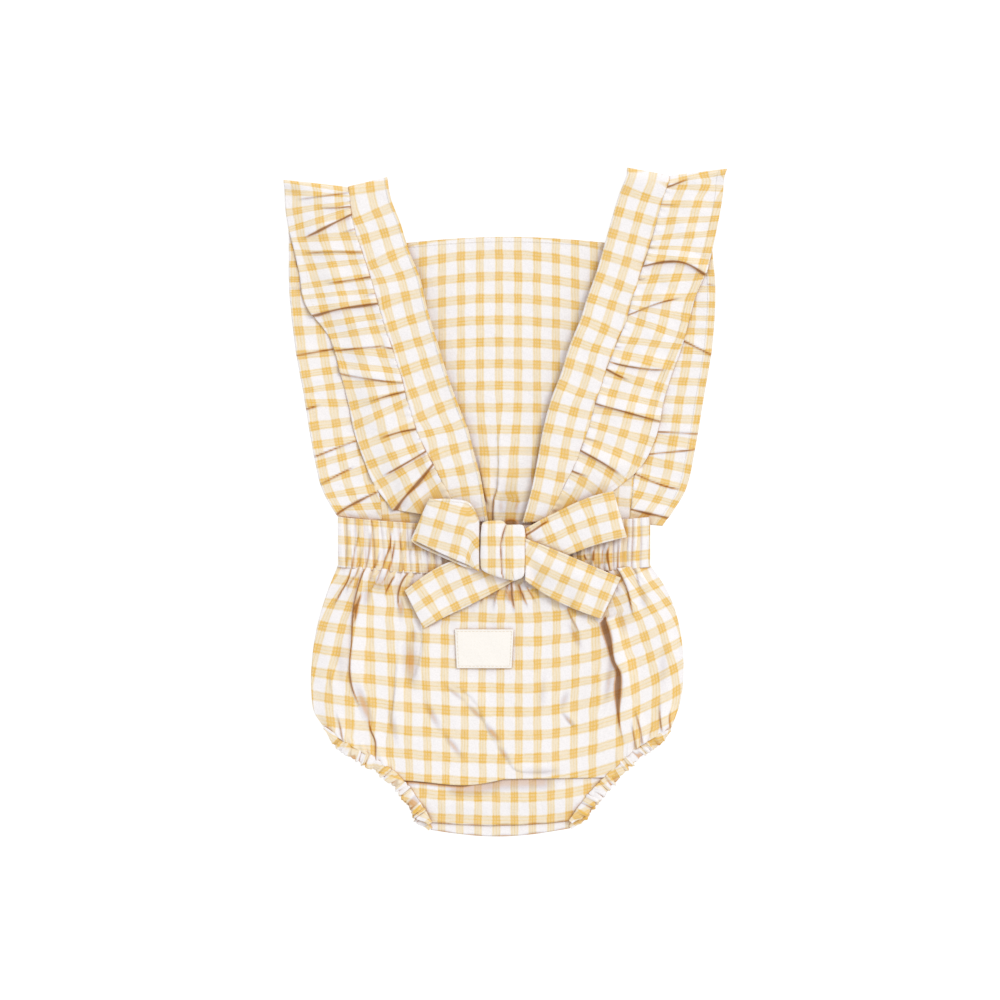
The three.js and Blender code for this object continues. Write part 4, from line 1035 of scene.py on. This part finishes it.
def crotch(flap, wall):
    """A crotch flap: a blend between the legs' lower stretches, with a bowed hem.

    The back flap droops at its hem. It has soft painted shade below its seam, and at the left a
    dark line of painted shade on the seam, where the panel puffs out over it. Both flaps have a
    line of painted shade along the hem.
    """
    u = np.linspace(0, 1, FLAP_CELLS_ACROSS)
    v = np.linspace(0, 1, FLAP_CELLS_ALONG)
    share = mix(CROTCH_SHARE, 1, v)
    left = rail(LEFT_LEG, share)
    right = rail(RIGHT_LEG, share)
    left[:, 1] -= flap.overlap * v
    right[:, 1] -= flap.overlap * v
    plan = mix(left[None], right[None], u[:, None, None])
    seam = crotch_seam(u)[:, 1]
    dip = (seam - mix(seam[0], seam[-1], u))[:, None]
    bow = -flap.hem_bow * np.sin(np.pi * u)[:, None]
    plan[..., 1] += mix(dip + 0.3, bow, v[None, :])
    x, y = plan[..., 0], plan[..., 1]
    level = mix(flap.seam_level, flap.level, smooth(v * 1.6))[None, :]
    z = level + wall / 2 + undulation(x, y, CROTCH_WAVES)
    z = z - 2.2 * flap.on_back * smooth((v - 0.5) / 0.5)[None, :]
    points = np.concatenate([plan, np.maximum(z, wall / 2)[..., None]], axis=-1)
    cloth = panel_cloth(x, y) + np.array(FLAP_SHIFT)
    from_hem = (1 - v)[None, :] * (0.4 * np.linalg.norm(left[0] - left[-1]))
    # Painted shade: a line along the hem, and on the back flap shade below the seam
    tuck = 0.35 + from_hem / 1.2 + 0.3 * np.sin(x / 6) ** 2
    if flap.on_back:
        down = seam[:, None] - y
        shaded = 0.42 * smooth((x + 44) / 14) * smooth((38 - x) / 14) * smooth(1.3 - down / 9)
        to_left = smooth((-14 - x) / 12)
        line = 1 - (1 - np.clip(down / (2.4 * to_left + 0.8), 0, 1)) * mix(0.3, 1, to_left)
        tuck = np.minimum(tuck, np.minimum(1 - shaded, line))
    return points, cloth, edge_from(x, NO_STITCH + from_hem), tuck


def casing(leg, outward, level, overlap, wall):
    """A leg casing: a gathered channel along the outer side of the leg's edge.

    It is narrower at its ends, and its gathers slant and wander, with painted shade in their
    crevices. Outward is 1 where the leg's outer side lies to the right of its route and -1 where it
    lies to the left.
    """
    u = np.linspace(0, 1, CASING_CELLS_ALONG)
    v = np.linspace(0, 1, CASING_CELLS)[None, :]
    line = rail(leg, u)
    step = np.gradient(line, axis=0)
    away = np.stack([step[:, 1], -step[:, 0]], axis=1)
    away *= outward / np.linalg.norm(away, axis=1, keepdims=True)
    length = lengths_along(line)[:, None]
    ends = (smooth(u * 9 - 0.1) * smooth((1 - u) * 10 - 0.1))[:, None]
    drift = length + 1.9 * np.sin(length * 0.37 + outward) + 0.8 * np.sin(length * 1.13)
    drift = drift + 2.6 * (v - 0.4) * np.sin(length / 7.7 + outward)
    wave = gathers(drift, CASING_PITCH, 1.0) * (0.74 + 0.26 * np.sin(length / 4.9 + 2)) * ends
    fine = gathers(drift * 1.9 + 2.5 * v, 5.3, 0.5) * ends
    taper = (mix(0.12, 1, smooth(u * 7) ** 0.7) * mix(0.4, 1, smooth((1 - u) * 12)))[:, None]
    inner = -0.8 - 1.0 * wave
    outer = CASING_WIDTH * (0.84 + 0.4 * wave + 0.4 * fine) * taper
    reach = mix(inner, outer, v)
    plan = line[:, None] + away[:, None] * reach[..., None]
    plan[..., 1] -= overlap * np.clip((u - CROTCH_SHARE) / (1 - CROTCH_SHARE), 0, 1)[:, None]
    z = level + wall / 2 + 0.8 * wave + 0.8 * fine + 0.6 * np.sin(np.pi * v) ** 0.8 * mix(0.2, 1, ends)
    points = np.concatenate([plan, z[..., None]], axis=-1)
    across = 5 + 0.35 * length + v * CASING_WIDTH
    cloth = np.stack(np.broadcast_arrays(across, 1.2 * drift + 0.8 * np.sin(drift / 1.2)), -1)
    # Painted shade in the crevices between gathers
    painted_crevice_shade = smooth(1 - 4.5 * wave) * (0.65 + 0.35 * np.sin(length / 3.7)) * mix(0.5, 1, v)
    made = points, cloth, plain_edge(length, v), 1 - 0.66 * painted_crevice_shade * ends
    return [part[:, ::-1] for part in made] if outward > 0 else made


def bow_strip(tie, wall, cell):
    """A strip of the tie between two rails through its sections, with a soft buckle across it.

    Where it lies high, its lower edge droops towards what is under it.
    """
    top = [(*strip.top, strip.level + wall / 2) for strip in tie.sections]
    low = [(*strip.low, strip.level + wall / 2) for strip in tie.sections]
    shares = even_shares(top, cell)
    first = rail(top, shares)
    second = rail(low, shares)
    v = np.linspace(0, 1, BOW_CELLS)[None, :]
    points = mix(first[:, None], second[:, None], v[..., None])
    calm = smooth(np.minimum(shares, 1 - shares) * 8)[:, None]
    ripple = np.sin(np.pi * v) * (0.6 + 0.4 * np.sin(9 * shares))[:, None]
    waves = Waves(TIE_WAVE_PITCH, TIE_WAVE_DEPTH, tie.seed)
    wavy = undulation(points[..., 0], points[..., 1], waves)
    points[..., 2] += (tie.buckle * ripple + wavy) * calm
    points[..., 2] -= tie.droop * smooth((points[..., 2] - 10) / 2) * smooth((v - 0.25) / 0.75) * calm
    cloth = lay_along(points, (first + second) / 2)
    width = np.linalg.norm(second - first, axis=1)[:, None]
    edge = edge_from(cloth[..., 1], np.minimum(v, 1 - v) * width - BOW_STITCH)
    # Painted shade under the creases' lips, where the strip has creases
    tuck = np.ones(points.shape[:2])
    add_creases(points, cloth, tuck, tie.creases)
    return points, cloth, edge, tuck


def knot_surface():
    """The knot: rings of its outline that shrink to its middle as they rise, with a crease down it,
    and painted shade in the crease and low round its sides.

    The outline is a curve through KNOT_OUTLINE. Rings keep nearly their full size for most of the
    rise, so that the knot's top is flat and its sides are round.
    """
    outline = rail(KNOT_OUTLINE + KNOT_OUTLINE[:1], np.linspace(0, 1, 150))
    middle = outline[:-1].mean(0)
    t = 1 - np.linspace(1, 0, 56)[:, None] ** 1.7
    size = np.cos(np.pi / 2 * t**2.4) ** 0.6
    height = np.sin(np.pi / 2 * t) ** 0.6
    x = middle[0] + (outline[:, 0] - middle[0]) * size
    y = middle[1] + (outline[:, 1] - middle[1]) * size
    crease_y, crease_x = zip(*KNOT_CREASE)
    from_crease = x - np.interp(y, crease_y, crease_x)
    crease = 1.3 * bump(from_crease / 1.7) * height
    pleats = 0.3 * np.sin(x * 0.75 + y * 0.05) * height * np.abs(y - middle[1]) / 17
    z = KNOT_LEVEL + KNOT_RISE * height - crease + pleats
    points = np.stack([x, y, z], axis=-1)
    cloth = np.stack([x - KNOT_COLUMN + 0.5 * np.sign(from_crease), KNOT_ROW - y], axis=-1)
    # Painted shade along the crease and round the knot's low sides
    tuck = np.abs(from_crease) / 0.95 + 0.25 * np.cos(y / 4) ** 2 + 0.6 * (1 - height)
    return points, cloth, plain_edge(x, y), tuck


def label_surface(wall):
    """The label: a small rectangle on the back panel with a slightly lifted middle."""
    u = np.linspace(0, 1, 60)[:, None]
    v = np.linspace(0, 1, 40)[None, :]
    level = PANEL_LEVEL + LABEL_RISE + SEAM_GAP + wall / 2
    x = mix(LABEL_LEFT, LABEL_RIGHT, u) + (0.5 - u) * 2.4 * v
    y = mix(LABEL_TOP, LABEL_LOW, v) + 0 * u
    z = level + 0.4 * np.sin(np.pi * u) * np.sin(np.pi * v) + undulation(x, y, LABEL_WAVES)
    points = np.stack([x, y, z], axis=-1)
    from_side = np.minimum(u, 1 - u) * (LABEL_RIGHT - LABEL_LEFT)
    from_end = np.minimum(v, 1 - v) * (LABEL_TOP - LABEL_LOW)
    edge = edge_from(x + y, np.minimum(from_side, from_end) - LABEL_STITCH)
    return points, np.stack([x, -y], axis=-1), edge, np.ones(x.shape)


class Graph:
    """A material's nodes, added one by one and linked where an input is given as a socket."""

    def __init__(self, name):
        self.material = bpy.data.materials.new(name)
        self.material.use_nodes = True
        self.tree = self.material.node_tree
        self.tree.nodes.clear()

    def add(self, kind, inputs=(), output=0, **settings):
        """Adds a node with its settings and inputs, and gives one of its outputs."""
        node = self.tree.nodes.new(kind)
        for name, value in settings.items():
            setattr(node, name, value)
        for key, value in dict(inputs).items():
            if isinstance(value, bpy.types.NodeSocket):
                self.tree.links.new(value, node.inputs[key])
            else:
                node.inputs[key].default_value = value
        return node.outputs[output]

    def surface(self, looks):
        """Gives the material its shader with these inputs."""
        shader = self.add("ShaderNodeBsdfPrincipled", looks)
        out = self.tree.nodes.new("ShaderNodeOutputMaterial")
        self.tree.links.new(shader, out.inputs["Surface"])

    def uv(self, name):
        """A UV map's vector and its two coordinates."""
        vector = self.add("ShaderNodeUVMap", uv_map=name)
        split = self.add("ShaderNodeSeparateXYZ", {0: vector}).node
        return vector, split.outputs[0], split.outputs[1]

    def math(self, operation, *values):
        """One sum of sockets or numbers."""
        return self.add("ShaderNodeMath", dict(enumerate(values)), operation=operation)

    def times(self, *values):
        """The product of two sockets or numbers."""
        return self.math("MULTIPLY", *values)

    def ramp(self, value, low, high, start=0.0, end=1.0):
        """A smooth step of the value from low to high, given as start to end."""
        limits = {0: value, 1: low, 2: high, 3: start, 4: end}
        return self.add("ShaderNodeMapRange", limits, interpolation_type="SMOOTHSTEP")

    def blend(self, factor, first, second, how="MIX"):
        """Two colours blended by a factor."""
        inputs = {0: factor, 6: first, 7: second}
        return self.add("ShaderNodeMix", inputs, output=2, data_type="RGBA", blend_type=how)

    def noise(self, vector, scale, detail=2.0, roughness=0.5):
        """Soft noise over a vector."""
        inputs = {"Vector": vector, "Scale": scale, "Detail": detail, "Roughness": roughness}
        return self.add("ShaderNodeTexNoise", inputs)

    def ribs(self, vector, scale, distortion, direction):
        """Even ribs across one direction of a vector."""
        inputs = {"Vector": vector, "Scale": scale, "Distortion": distortion}
        return self.add("ShaderNodeTexWave", inputs, output=1, bands_direction=direction)

    def bump(self, strength, height):
        """A normal from a height in mm."""
        return self.add("ShaderNodeBump", {"Strength": strength, "Distance": MM, "Height": height})

    def stitches(self, run, inside, width, soft, pitch, gap):
        """A line of stitches at inside 0: the groove it lies in, and its dashes of thread.

        The groove fades from soft to width on either side, and a dash is where the sine of the run
        rises past the gap.
        """
        groove = self.ramp(self.math("ABSOLUTE", inside), width, soft)
        dash = self.ramp(self.math("SINE", self.times(run, 2 * math.pi / pitch)), -gap, 0.4 - gap)
        return groove, self.times(groove, dash)


def rgba(colour):
    """A colour property as four numbers."""
    return (*colour, 1.0)


def band_and_yarn(g, cloth, place, repeat, stretch, finish_and_painted_shade):
    """One way of the check: its band, and the fine yarns in it, fainter where the thread thins."""
    turns = g.math("DIVIDE", place, repeat / MM)
    offset = g.math("ABSOLUTE", g.math("SUBTRACT", g.math("FRACT", g.math("ADD", turns, 0.5)), 0.5))
    half = finish_and_painted_shade.band_share / 2
    band = g.ramp(offset, half + 0.035, half - 0.03)
    yarn = g.math("COSINE", g.times(offset, 2 * math.pi / finish_and_painted_shade.yarn_share))
    slub = g.noise(g.add("ShaderNodeMapping", {"Vector": cloth, "Scale": stretch}), 1.0, 3.0)
    yarn = g.times(g.ramp(yarn, -0.1, 1.0), g.ramp(slub, 0.3, 0.62))
    return band, g.times(yarn, band)


def check_colour(g, cloth, across, along, finish_and_painted_shade):
    """The check: soft bands each way with fine yarns in them, darkest where two bands cross."""
    wander = g.times(g.math("SUBTRACT", g.noise(cloth, 0.09, 4.0, 0.6), 0.5), 1.8)
    ways = [
        band_and_yarn(g, cloth, g.math("ADD", place, wander), repeat, stretch, finish_and_painted_shade)
        for place, repeat, stretch in (
            (across, finish_and_painted_shade.repeat_across, (1.2, 0.06, 1)), (along, finish_and_painted_shade.repeat_along, (0.06, 1.2, 1)),
        )
    ]
    bands, yarns = zip(*ways)
    both = g.times(*bands)
    yarn = g.math("MAXIMUM", *yarns)
    colour = g.blend(g.math("MAXIMUM", *bands), rgba(finish_and_painted_shade.ground), rgba(finish_and_painted_shade.band))
    colour = g.blend(g.times(yarn, 0.7), colour, rgba(finish_and_painted_shade.yarn))
    colour = g.blend(both, colour, rgba(finish_and_painted_shade.crossing))
    colour = g.blend(g.times(g.times(yarn, both), 0.85), colour, rgba(finish_and_painted_shade.gold))
    mottle = g.ramp(g.noise(cloth, 1.1, 4.0, 0.65), 0.3, 0.7, 0.94, 1.03)
    grey = g.add("ShaderNodeCombineColor", {0: mottle, 1: mottle, 2: mottle})
    return g.blend(1.0, colour, grey, "MULTIPLY")


def shade_creases(g, colour, finish_and_painted_shade):
    """Paints shade into the colour in creases, by the attribute of painted shade, and paints contact shade
    where other cloth lies close.
    """
    # Painted shade: lilac in soft hollows, brown under crease lips, darkest at the heart of deep ones
    tuck = g.ramp(g.add("ShaderNodeAttribute", attribute_name="tuck", output=2), 1.0, 0.25)
    tint = g.blend(g.ramp(tuck, 0.3, 0.75), rgba(finish_and_painted_shade.shade), rgba(finish_and_painted_shade.tuck))
    tint = g.blend(g.ramp(tuck, 0.9, 1.0), tint, rgba(finish_and_painted_shade.painted_deep_shade))
    colour = g.blend(g.times(tuck, finish_and_painted_shade.painted_shade_depth), colour, tint, "MULTIPLY")
    # Painted contact shade: the colour darkens where ambient occlusion finds other cloth within 7 mm
    open_sky = g.add("ShaderNodeAmbientOcclusion", {"Distance": 7 * MM}, output=1, samples=6)
    return g.blend(g.ramp(open_sky, 0.97, 0.15, 0.0, 0.95), colour, rgba(finish_and_painted_shade.close), "MULTIPLY")


def add_gingham(finish_and_painted_shade):
    """Gingham: the check with shade painted into its creases and where cloth lies close, over a plain weave
    with a soft crinkle.
    """
    g = Graph("checked_cotton")
    cloth, across, along = g.uv("cloth")
    _, run, inside = g.uv("edge")
    groove, thread = g.stitches(run, inside, 0.42, 0.16, 2.6, 0.75)
    colour = check_colour(g, cloth, across, along, finish_and_painted_shade)
    colour = g.blend(g.times(thread, 0.22), colour, rgba(finish_and_painted_shade.thread))
    colour = shade_creases(g, colour, finish_and_painted_shade)
    weave = g.math("MAXIMUM", g.ribs(cloth, 0.62, 0.6, "X"), g.ribs(cloth, 0.62, 0.6, "Y"))
    crinkle = g.times(g.noise(cloth, 0.15, 3.0, 0.5), finish_and_painted_shade.crinkle / MM)
    hem = g.times(g.ramp(inside, 0.5, -0.3), 0.35)
    height = g.math("ADD", g.times(weave, 0.03), crinkle)
    height = g.math("ADD", height, g.math("SUBTRACT", hem, g.times(groove, 0.08)))
    height = g.math("ADD", height, g.times(thread, 0.12))
    g.surface({
        "Base Color": colour, "Roughness": 0.86, "Normal": g.bump(0.8, height), "Specular IOR Level": 0.18,
        "Sheen Weight": 0.12, "Sheen Roughness": 0.5,
    })


def add_label_cloth(finish_and_painted_shade):
    """Label tape: a cream ribbed weave with a line of stitches."""
    g = Graph("woven_tape")
    cloth = g.add("ShaderNodeUVMap", uv_map="cloth")
    _, run, inside = g.uv("edge")
    groove, thread = g.stitches(run, inside, 0.34, 0.14, 2.4, 0.7)
    mottle = g.ramp(g.noise(cloth, 1.2, 4.0, 0.6), 0.3, 0.7)
    colour = g.blend(mottle, rgba(finish_and_painted_shade.label_shade), rgba(finish_and_painted_shade.label))
    colour = g.blend(g.times(thread, 0.5), colour, rgba(finish_and_painted_shade.thread))
    ribs = g.times(g.ribs(cloth, 0.5, 0.4, "Y"), 0.06)
    height = g.math("ADD", ribs, g.times(g.noise(cloth, 0.3, 3.0), 0.4))
    height = g.math("SUBTRACT", height, g.times(groove, 0.15))
    g.surface({
        "Base Color": colour, "Roughness": 0.8, "Normal": g.bump(0.7, height), "Specular IOR Level": 0.2,
        "Sheen Weight": 0.1, "Sheen Roughness": 0.5,
    })


def colour_property(name, description, *default):
    """A colour that a user may change."""
    return FloatVectorProperty(name=name, description=description, subtype="COLOR", size=3, default=default)


def length_property(name, description, default):
    """A size in metres that a user may change."""
    return FloatProperty(name=name, description=description, unit="LENGTH", default=default)


def number_property(name, description, default, low, high):
    """A number that a user may change, within its limits."""
    return FloatProperty(name=name, description=description, default=default, min=low, max=high)


class RomperFinishAndPaintedShade(bpy.types.PropertyGroup):
    """Colours and sizes of the cloth's finish, and the colours and strength of the shade painted into it.
    """

    ground: colour_property("Ground", "White ground of the check", 0.935, 0.905, 0.91)
    band: colour_property("Band", "Pale band of the check", 0.90, 0.785, 0.61)
    yarn: colour_property("Yarn", "Fine darker yarns in a band", 0.87, 0.66, 0.30)
    crossing: colour_property("Crossing", "Square where two bands cross", 0.87, 0.62, 0.29)
    gold: colour_property("Gold yarn", "Yarns in a crossing square", 0.84, 0.50, 0.07)
    thread: colour_property("Thread", "Sewing thread", 0.78, 0.62, 0.40)
    label: colour_property("Label", "Label tape", 0.98, 0.945, 0.90)
    label_shade: colour_property("Label shade", "Darker yarns of the label tape", 0.945, 0.90, 0.84)
    # Colours of painted shade: in soft hollows, under crease lips, at the heart of deep creases and where
    # cloth lies close, and how strongly creases get it
    shade: colour_property("Shade", "Tint of cloth in a soft hollow", 0.50, 0.44, 0.49)
    tuck: colour_property("Tuck", "Tint of cloth tucked inside a crease", 0.72, 0.38, 0.12)
    painted_deep_shade: colour_property("Deep", "Tint at the heart of a deep crease", 0.40, 0.20, 0.075)
    close: colour_property("Close", "Tint where cloth lies close to other cloth", 0.68, 0.42, 0.24)
    painted_shade_depth: number_property("Tuck depth", "How strongly creases are tinted", 0.9, 0, 1)
    repeat_across: length_property("Repeat across", "Width of one repeat of the check", CHECK_ACROSS * MM)
    repeat_along: length_property("Repeat along", "Length of one repeat of the check", CHECK_ALONG * MM)
    band_share: number_property("Band share", "Share of a repeat that a band takes", 0.43, 0.1, 0.9)
    yarn_share: number_property("Yarn share", "Share of a repeat between two yarns", 0.146, 0.02, 0.5)
    crinkle: length_property("Crinkle", "Depth of the cloth's fine crinkle", 0.0011)


class RomperCloth(bpy.types.PropertyGroup):
    """Thicknesses and fineness of the cloth pieces."""

    single: length_property("Single cloth", "Thickness of one layer", 0.0006)
    double: length_property("Double cloth", "Thickness of a folded strap or band", 0.0011)
    tape: length_property("Label tape", "Thickness of the label", 0.0007)
    cell: length_property("Cell", "Size of a cell of the surfaces", 0.00105)


class RomperStudio(bpy.types.PropertyGroup):
    """The camera and the light."""

    lens: number_property("Lens", "Focal length in mm", 85, 20, 200)
    view_width: length_property("View width", "Width of floor that the picture shows", 0.63)
    centre_x: length_property("Centre across", "Picture's centre across the garment", -0.00252)
    centre_y: length_property("Centre along", "Picture's centre along the garment", 0.00189)
    sky: number_property("Sky", "Strength of the soft white surroundings", 0.82, 0, 10)
    key: number_property("Key", "Strength of the key light", 0.95, 0, 10)
    key_softness: FloatProperty(
        name="Key softness", description="Angle the key light spans", subtype="ANGLE",
        default=math.radians(22),
    )


class ClothMaker:
    """What the operators for cloth pieces share."""

    bl_options = {"REGISTER", "UNDO"}

    def sizes(self, context):
        """Thickness of single and double cloth and the size of a cell, in mm."""
        cloth = context.scene.romper_cloth
        return cloth.single / MM, cloth.double / MM, cloth.cell / MM


class ROMPER_OT_cloths(bpy.types.Operator):
    """Mixes the gingham and the label cloth"""

    bl_idname = "romper.cloths"
    bl_label = "Cloths"

    def execute(self, context):
        add_gingham(context.scene.romper_finish)
        add_label_cloth(context.scene.romper_finish)
        return {"FINISHED"}


class ROMPER_OT_bib(ClothMaker, bpy.types.Operator):
    """Cuts the bib and lays it between the front straps"""

    bl_idname = "romper.bib"
    bl_label = "Bib"

    def execute(self, context):
        single, _, cell = self.sizes(context)
        add_piece("bib", bib(single, cell), single)
        return {"FINISHED"}


class ROMPER_OT_straps(ClothMaker, bpy.types.Operator):
    """Lays both straps from the front waist over the shoulder to the back"""

    bl_idname = "romper.straps"
    bl_label = "Straps"

    def execute(self, context):
        _, double, cell = self.sizes(context)
        for word, side in SIDES.items():
            add_piece(
                f"strap_{word}", strap(side, double, cell), double,
            )
        return {"FINISHED"}


class ROMPER_OT_ruffles(ClothMaker, bpy.types.Operator):
    """Gathers both ruffles along the straps' outer edges"""

    bl_idname = "romper.ruffles"
    bl_label = "Ruffles"

    def execute(self, context):
        single, _, cell = self.sizes(context)
        for word, side in SIDES.items():
            add_piece(
                f"ruffle_{word}", ruffle(side, single, cell), single,
            )
        return {"FINISHED"}


class ROMPER_OT_waistband(ClothMaker, bpy.types.Operator):
    """Gathers the front and back of the waistband on its elastic"""

    bl_idname = "romper.waistband"
    bl_label = "Waistband"

    def execute(self, context):
        _, double, _ = self.sizes(context)
        for node, band, flat, under in (
            ("waistband_front", FRONT_BAND, (0.22, 0.0295), "floor"),
            ("waistband_back", BACK_BAND, (0.27, 0.0295), "waistband_front"),
        ):
            add_piece(node, waistband(band, double), double)
        return {"FINISHED"}


class ROMPER_OT_bloomers(ClothMaker, bpy.types.Operator):
    """Puffs the front and back panels of the bloomers"""

    bl_idname = "romper.bloomers"
    bl_label = "Bloomers"

    def execute(self, context):
        single, _, cell = self.sizes(context)
        for node, panel, flat, under in (
            ("bloomer_front", FRONT_PANEL, (0.235, 0.145), "floor"),
            ("bloomer_back", BACK_PANEL, (0.25, 0.15), "bloomer_front"),
        ):
            made = bloomer(panel, single, cell)
            add_piece(node, made, single)
        return {"FINISHED"}


class ROMPER_OT_crotch(ClothMaker, bpy.types.Operator):
    """Laps the two crotch flaps"""

    bl_idname = "romper.crotch"
    bl_label = "Crotch"

    def execute(self, context):
        single, _, _ = self.sizes(context)
        for node, flap, flat, under in (
            ("crotch_front", FRONT_FLAP, (0.12, 0.036), "floor"),
            ("crotch_back", BACK_FLAP, (0.12, 0.03), "crotch_front"),
        ):
            add_piece(node, crotch(flap, single), single)
        return {"FINISHED"}


class ROMPER_OT_leg_casings(ClothMaker, bpy.types.Operator):
    """Gathers the elastic casings round both legs"""

    bl_idname = "romper.leg_casings"
    bl_label = "Leg casings"

    def execute(self, context):
        _, double, _ = self.sizes(context)
        for word, leg, outward in (("left", LEFT_LEG, 1), ("right", RIGHT_LEG, -1)):
            for layer, level, overlap, under in (
                ("front", FRONT_LEVEL, 4, "floor"), ("back", CASING_LEVEL, 0, f"leg_casing_{word}_front"),
            ):
                add_piece(
                    f"leg_casing_{word}_{layer}", casing(leg, outward, level, overlap, double), double,
                )
        return {"FINISHED"}


class ROMPER_OT_bow(ClothMaker, bpy.types.Operator):
    """Ties the bow at the back waist"""

    bl_idname = "romper.bow"
    bl_label = "Bow"

    def execute(self, context):
        single, _, cell = self.sizes(context)
        for node, tie in TIES.items():
            made = bow_strip(tie, single, 0.8 * cell)
            add_piece(node, made, single)
        add_piece(
            "bow_knot", knot_surface(), KNOT_WALL,
        )
        return {"FINISHED"}


class ROMPER_OT_label(ClothMaker, bpy.types.Operator):
    """Sews the bare label below the waistband"""

    bl_idname = "romper.label"
    bl_label = "Label"

    def execute(self, context):
        tape = context.scene.romper_cloth.tape / MM
        add_piece(
            "label", label_surface(tape), tape,
            slot="label_cloth",
        )
        return {"FINISHED"}


def add_floor():
    """A wide pale floor that glows a little, so that it stays white under the garment."""
    mesh = bpy.data.meshes.new("floor")
    corners = [(x * FLOOR_HALF, y * FLOOR_HALF, 0) for x, y in ((-1, -1), (1, -1), (1, 1), (-1, 1))]
    mesh.from_pydata(corners, [], [(0, 1, 2, 3)])
    floor = bpy.data.objects.new("floor", mesh)
    bpy.context.scene.collection.objects.link(floor)
    paint = Graph("floor_paint")
    paint.surface({
        "Base Color": (0.25, 0.25, 0.25, 1), "Roughness": 0.95, "Emission Color": (1, 1, 1, 1),
        "Emission Strength": 0.85,
    })
    mesh.materials.append(paint.material)


def add_light(scene, studio):
    """Soft white surroundings, and a slightly warm key light from the upper left."""
    world = bpy.data.worlds.new("surroundings")
    world.use_nodes = True
    background = world.node_tree.nodes["Background"]
    background.inputs["Color"].default_value = (1.0, 1.0, 1.0, 1)
    background.inputs["Strength"].default_value = studio.sky
    scene.world = world
    lamp = bpy.data.lights.new("key_light", "SUN")
    lamp.energy = studio.key
    lamp.angle = studio.key_softness
    lamp.color = (1.0, 0.985, 0.965)
    key = bpy.data.objects.new("key_light", lamp)
    key.rotation_euler = KEY_TURN
    scene.collection.objects.link(key)


def add_camera(scene, studio):
    """A camera straight above, as high as its lens needs for the width of floor that it shows."""
    lens = bpy.data.cameras.new("camera")
    lens.lens = studio.lens
    camera = bpy.data.objects.new("camera", lens)
    distance = studio.view_width * studio.lens / lens.sensor_width
    camera.location = (studio.centre_x, studio.centre_y, distance + VIEW_LEVEL * MM)
    scene.collection.objects.link(camera)
    scene.camera = camera


class ROMPER_OT_stage(bpy.types.Operator):
    """Sets up the floor, the light and the camera"""

    bl_idname = "romper.stage"
    bl_label = "Stage"

    def execute(self, context):
        scene = context.scene
        add_floor()
        add_light(scene, scene.romper_studio)
        add_camera(scene, scene.romper_studio)
        scene.view_settings.view_transform = "Standard"
        return {"FINISHED"}


class ROMPER_PT_panel(bpy.types.Panel):
    """Lists the romper's makers"""

    bl_label = "Romper"
    bl_idname = "ROMPER_PT_panel"
    bl_space_type = "VIEW_3D"
    bl_region_type = "UI"
    bl_category = "Romper"

    def draw(self, context):
        for operator in OPERATORS:
            self.layout.operator(operator.bl_idname)


OPERATORS = (
    ROMPER_OT_cloths, ROMPER_OT_stage, ROMPER_OT_bib, ROMPER_OT_straps, ROMPER_OT_ruffles,
    ROMPER_OT_waistband, ROMPER_OT_bloomers, ROMPER_OT_crotch, ROMPER_OT_leg_casings, ROMPER_OT_bow,
    ROMPER_OT_label,
)
GROUPS = {"romper_finish": RomperFinishAndPaintedShade, "romper_cloth": RomperCloth, "romper_studio": RomperStudio}


def register():
    for name, group in GROUPS.items():
        bpy.utils.register_class(group)
        setattr(bpy.types.Scene, name, PointerProperty(type=group))
    for maker in (*OPERATORS, ROMPER_PT_panel):
        bpy.utils.register_class(maker)


def unregister():
    for maker in (ROMPER_PT_panel, *reversed(OPERATORS)):
        bpy.utils.unregister_class(maker)
    for name, group in GROUPS.items():
        delattr(bpy.types.Scene, name)
        bpy.utils.unregister_class(group)


def main():
    """Makes every piece in order."""
    register()
    for operator in OPERATORS:
        _, maker = operator.bl_idname.split(".")
        getattr(bpy.ops.romper, maker)()


if __name__ == "__main__":
    main()
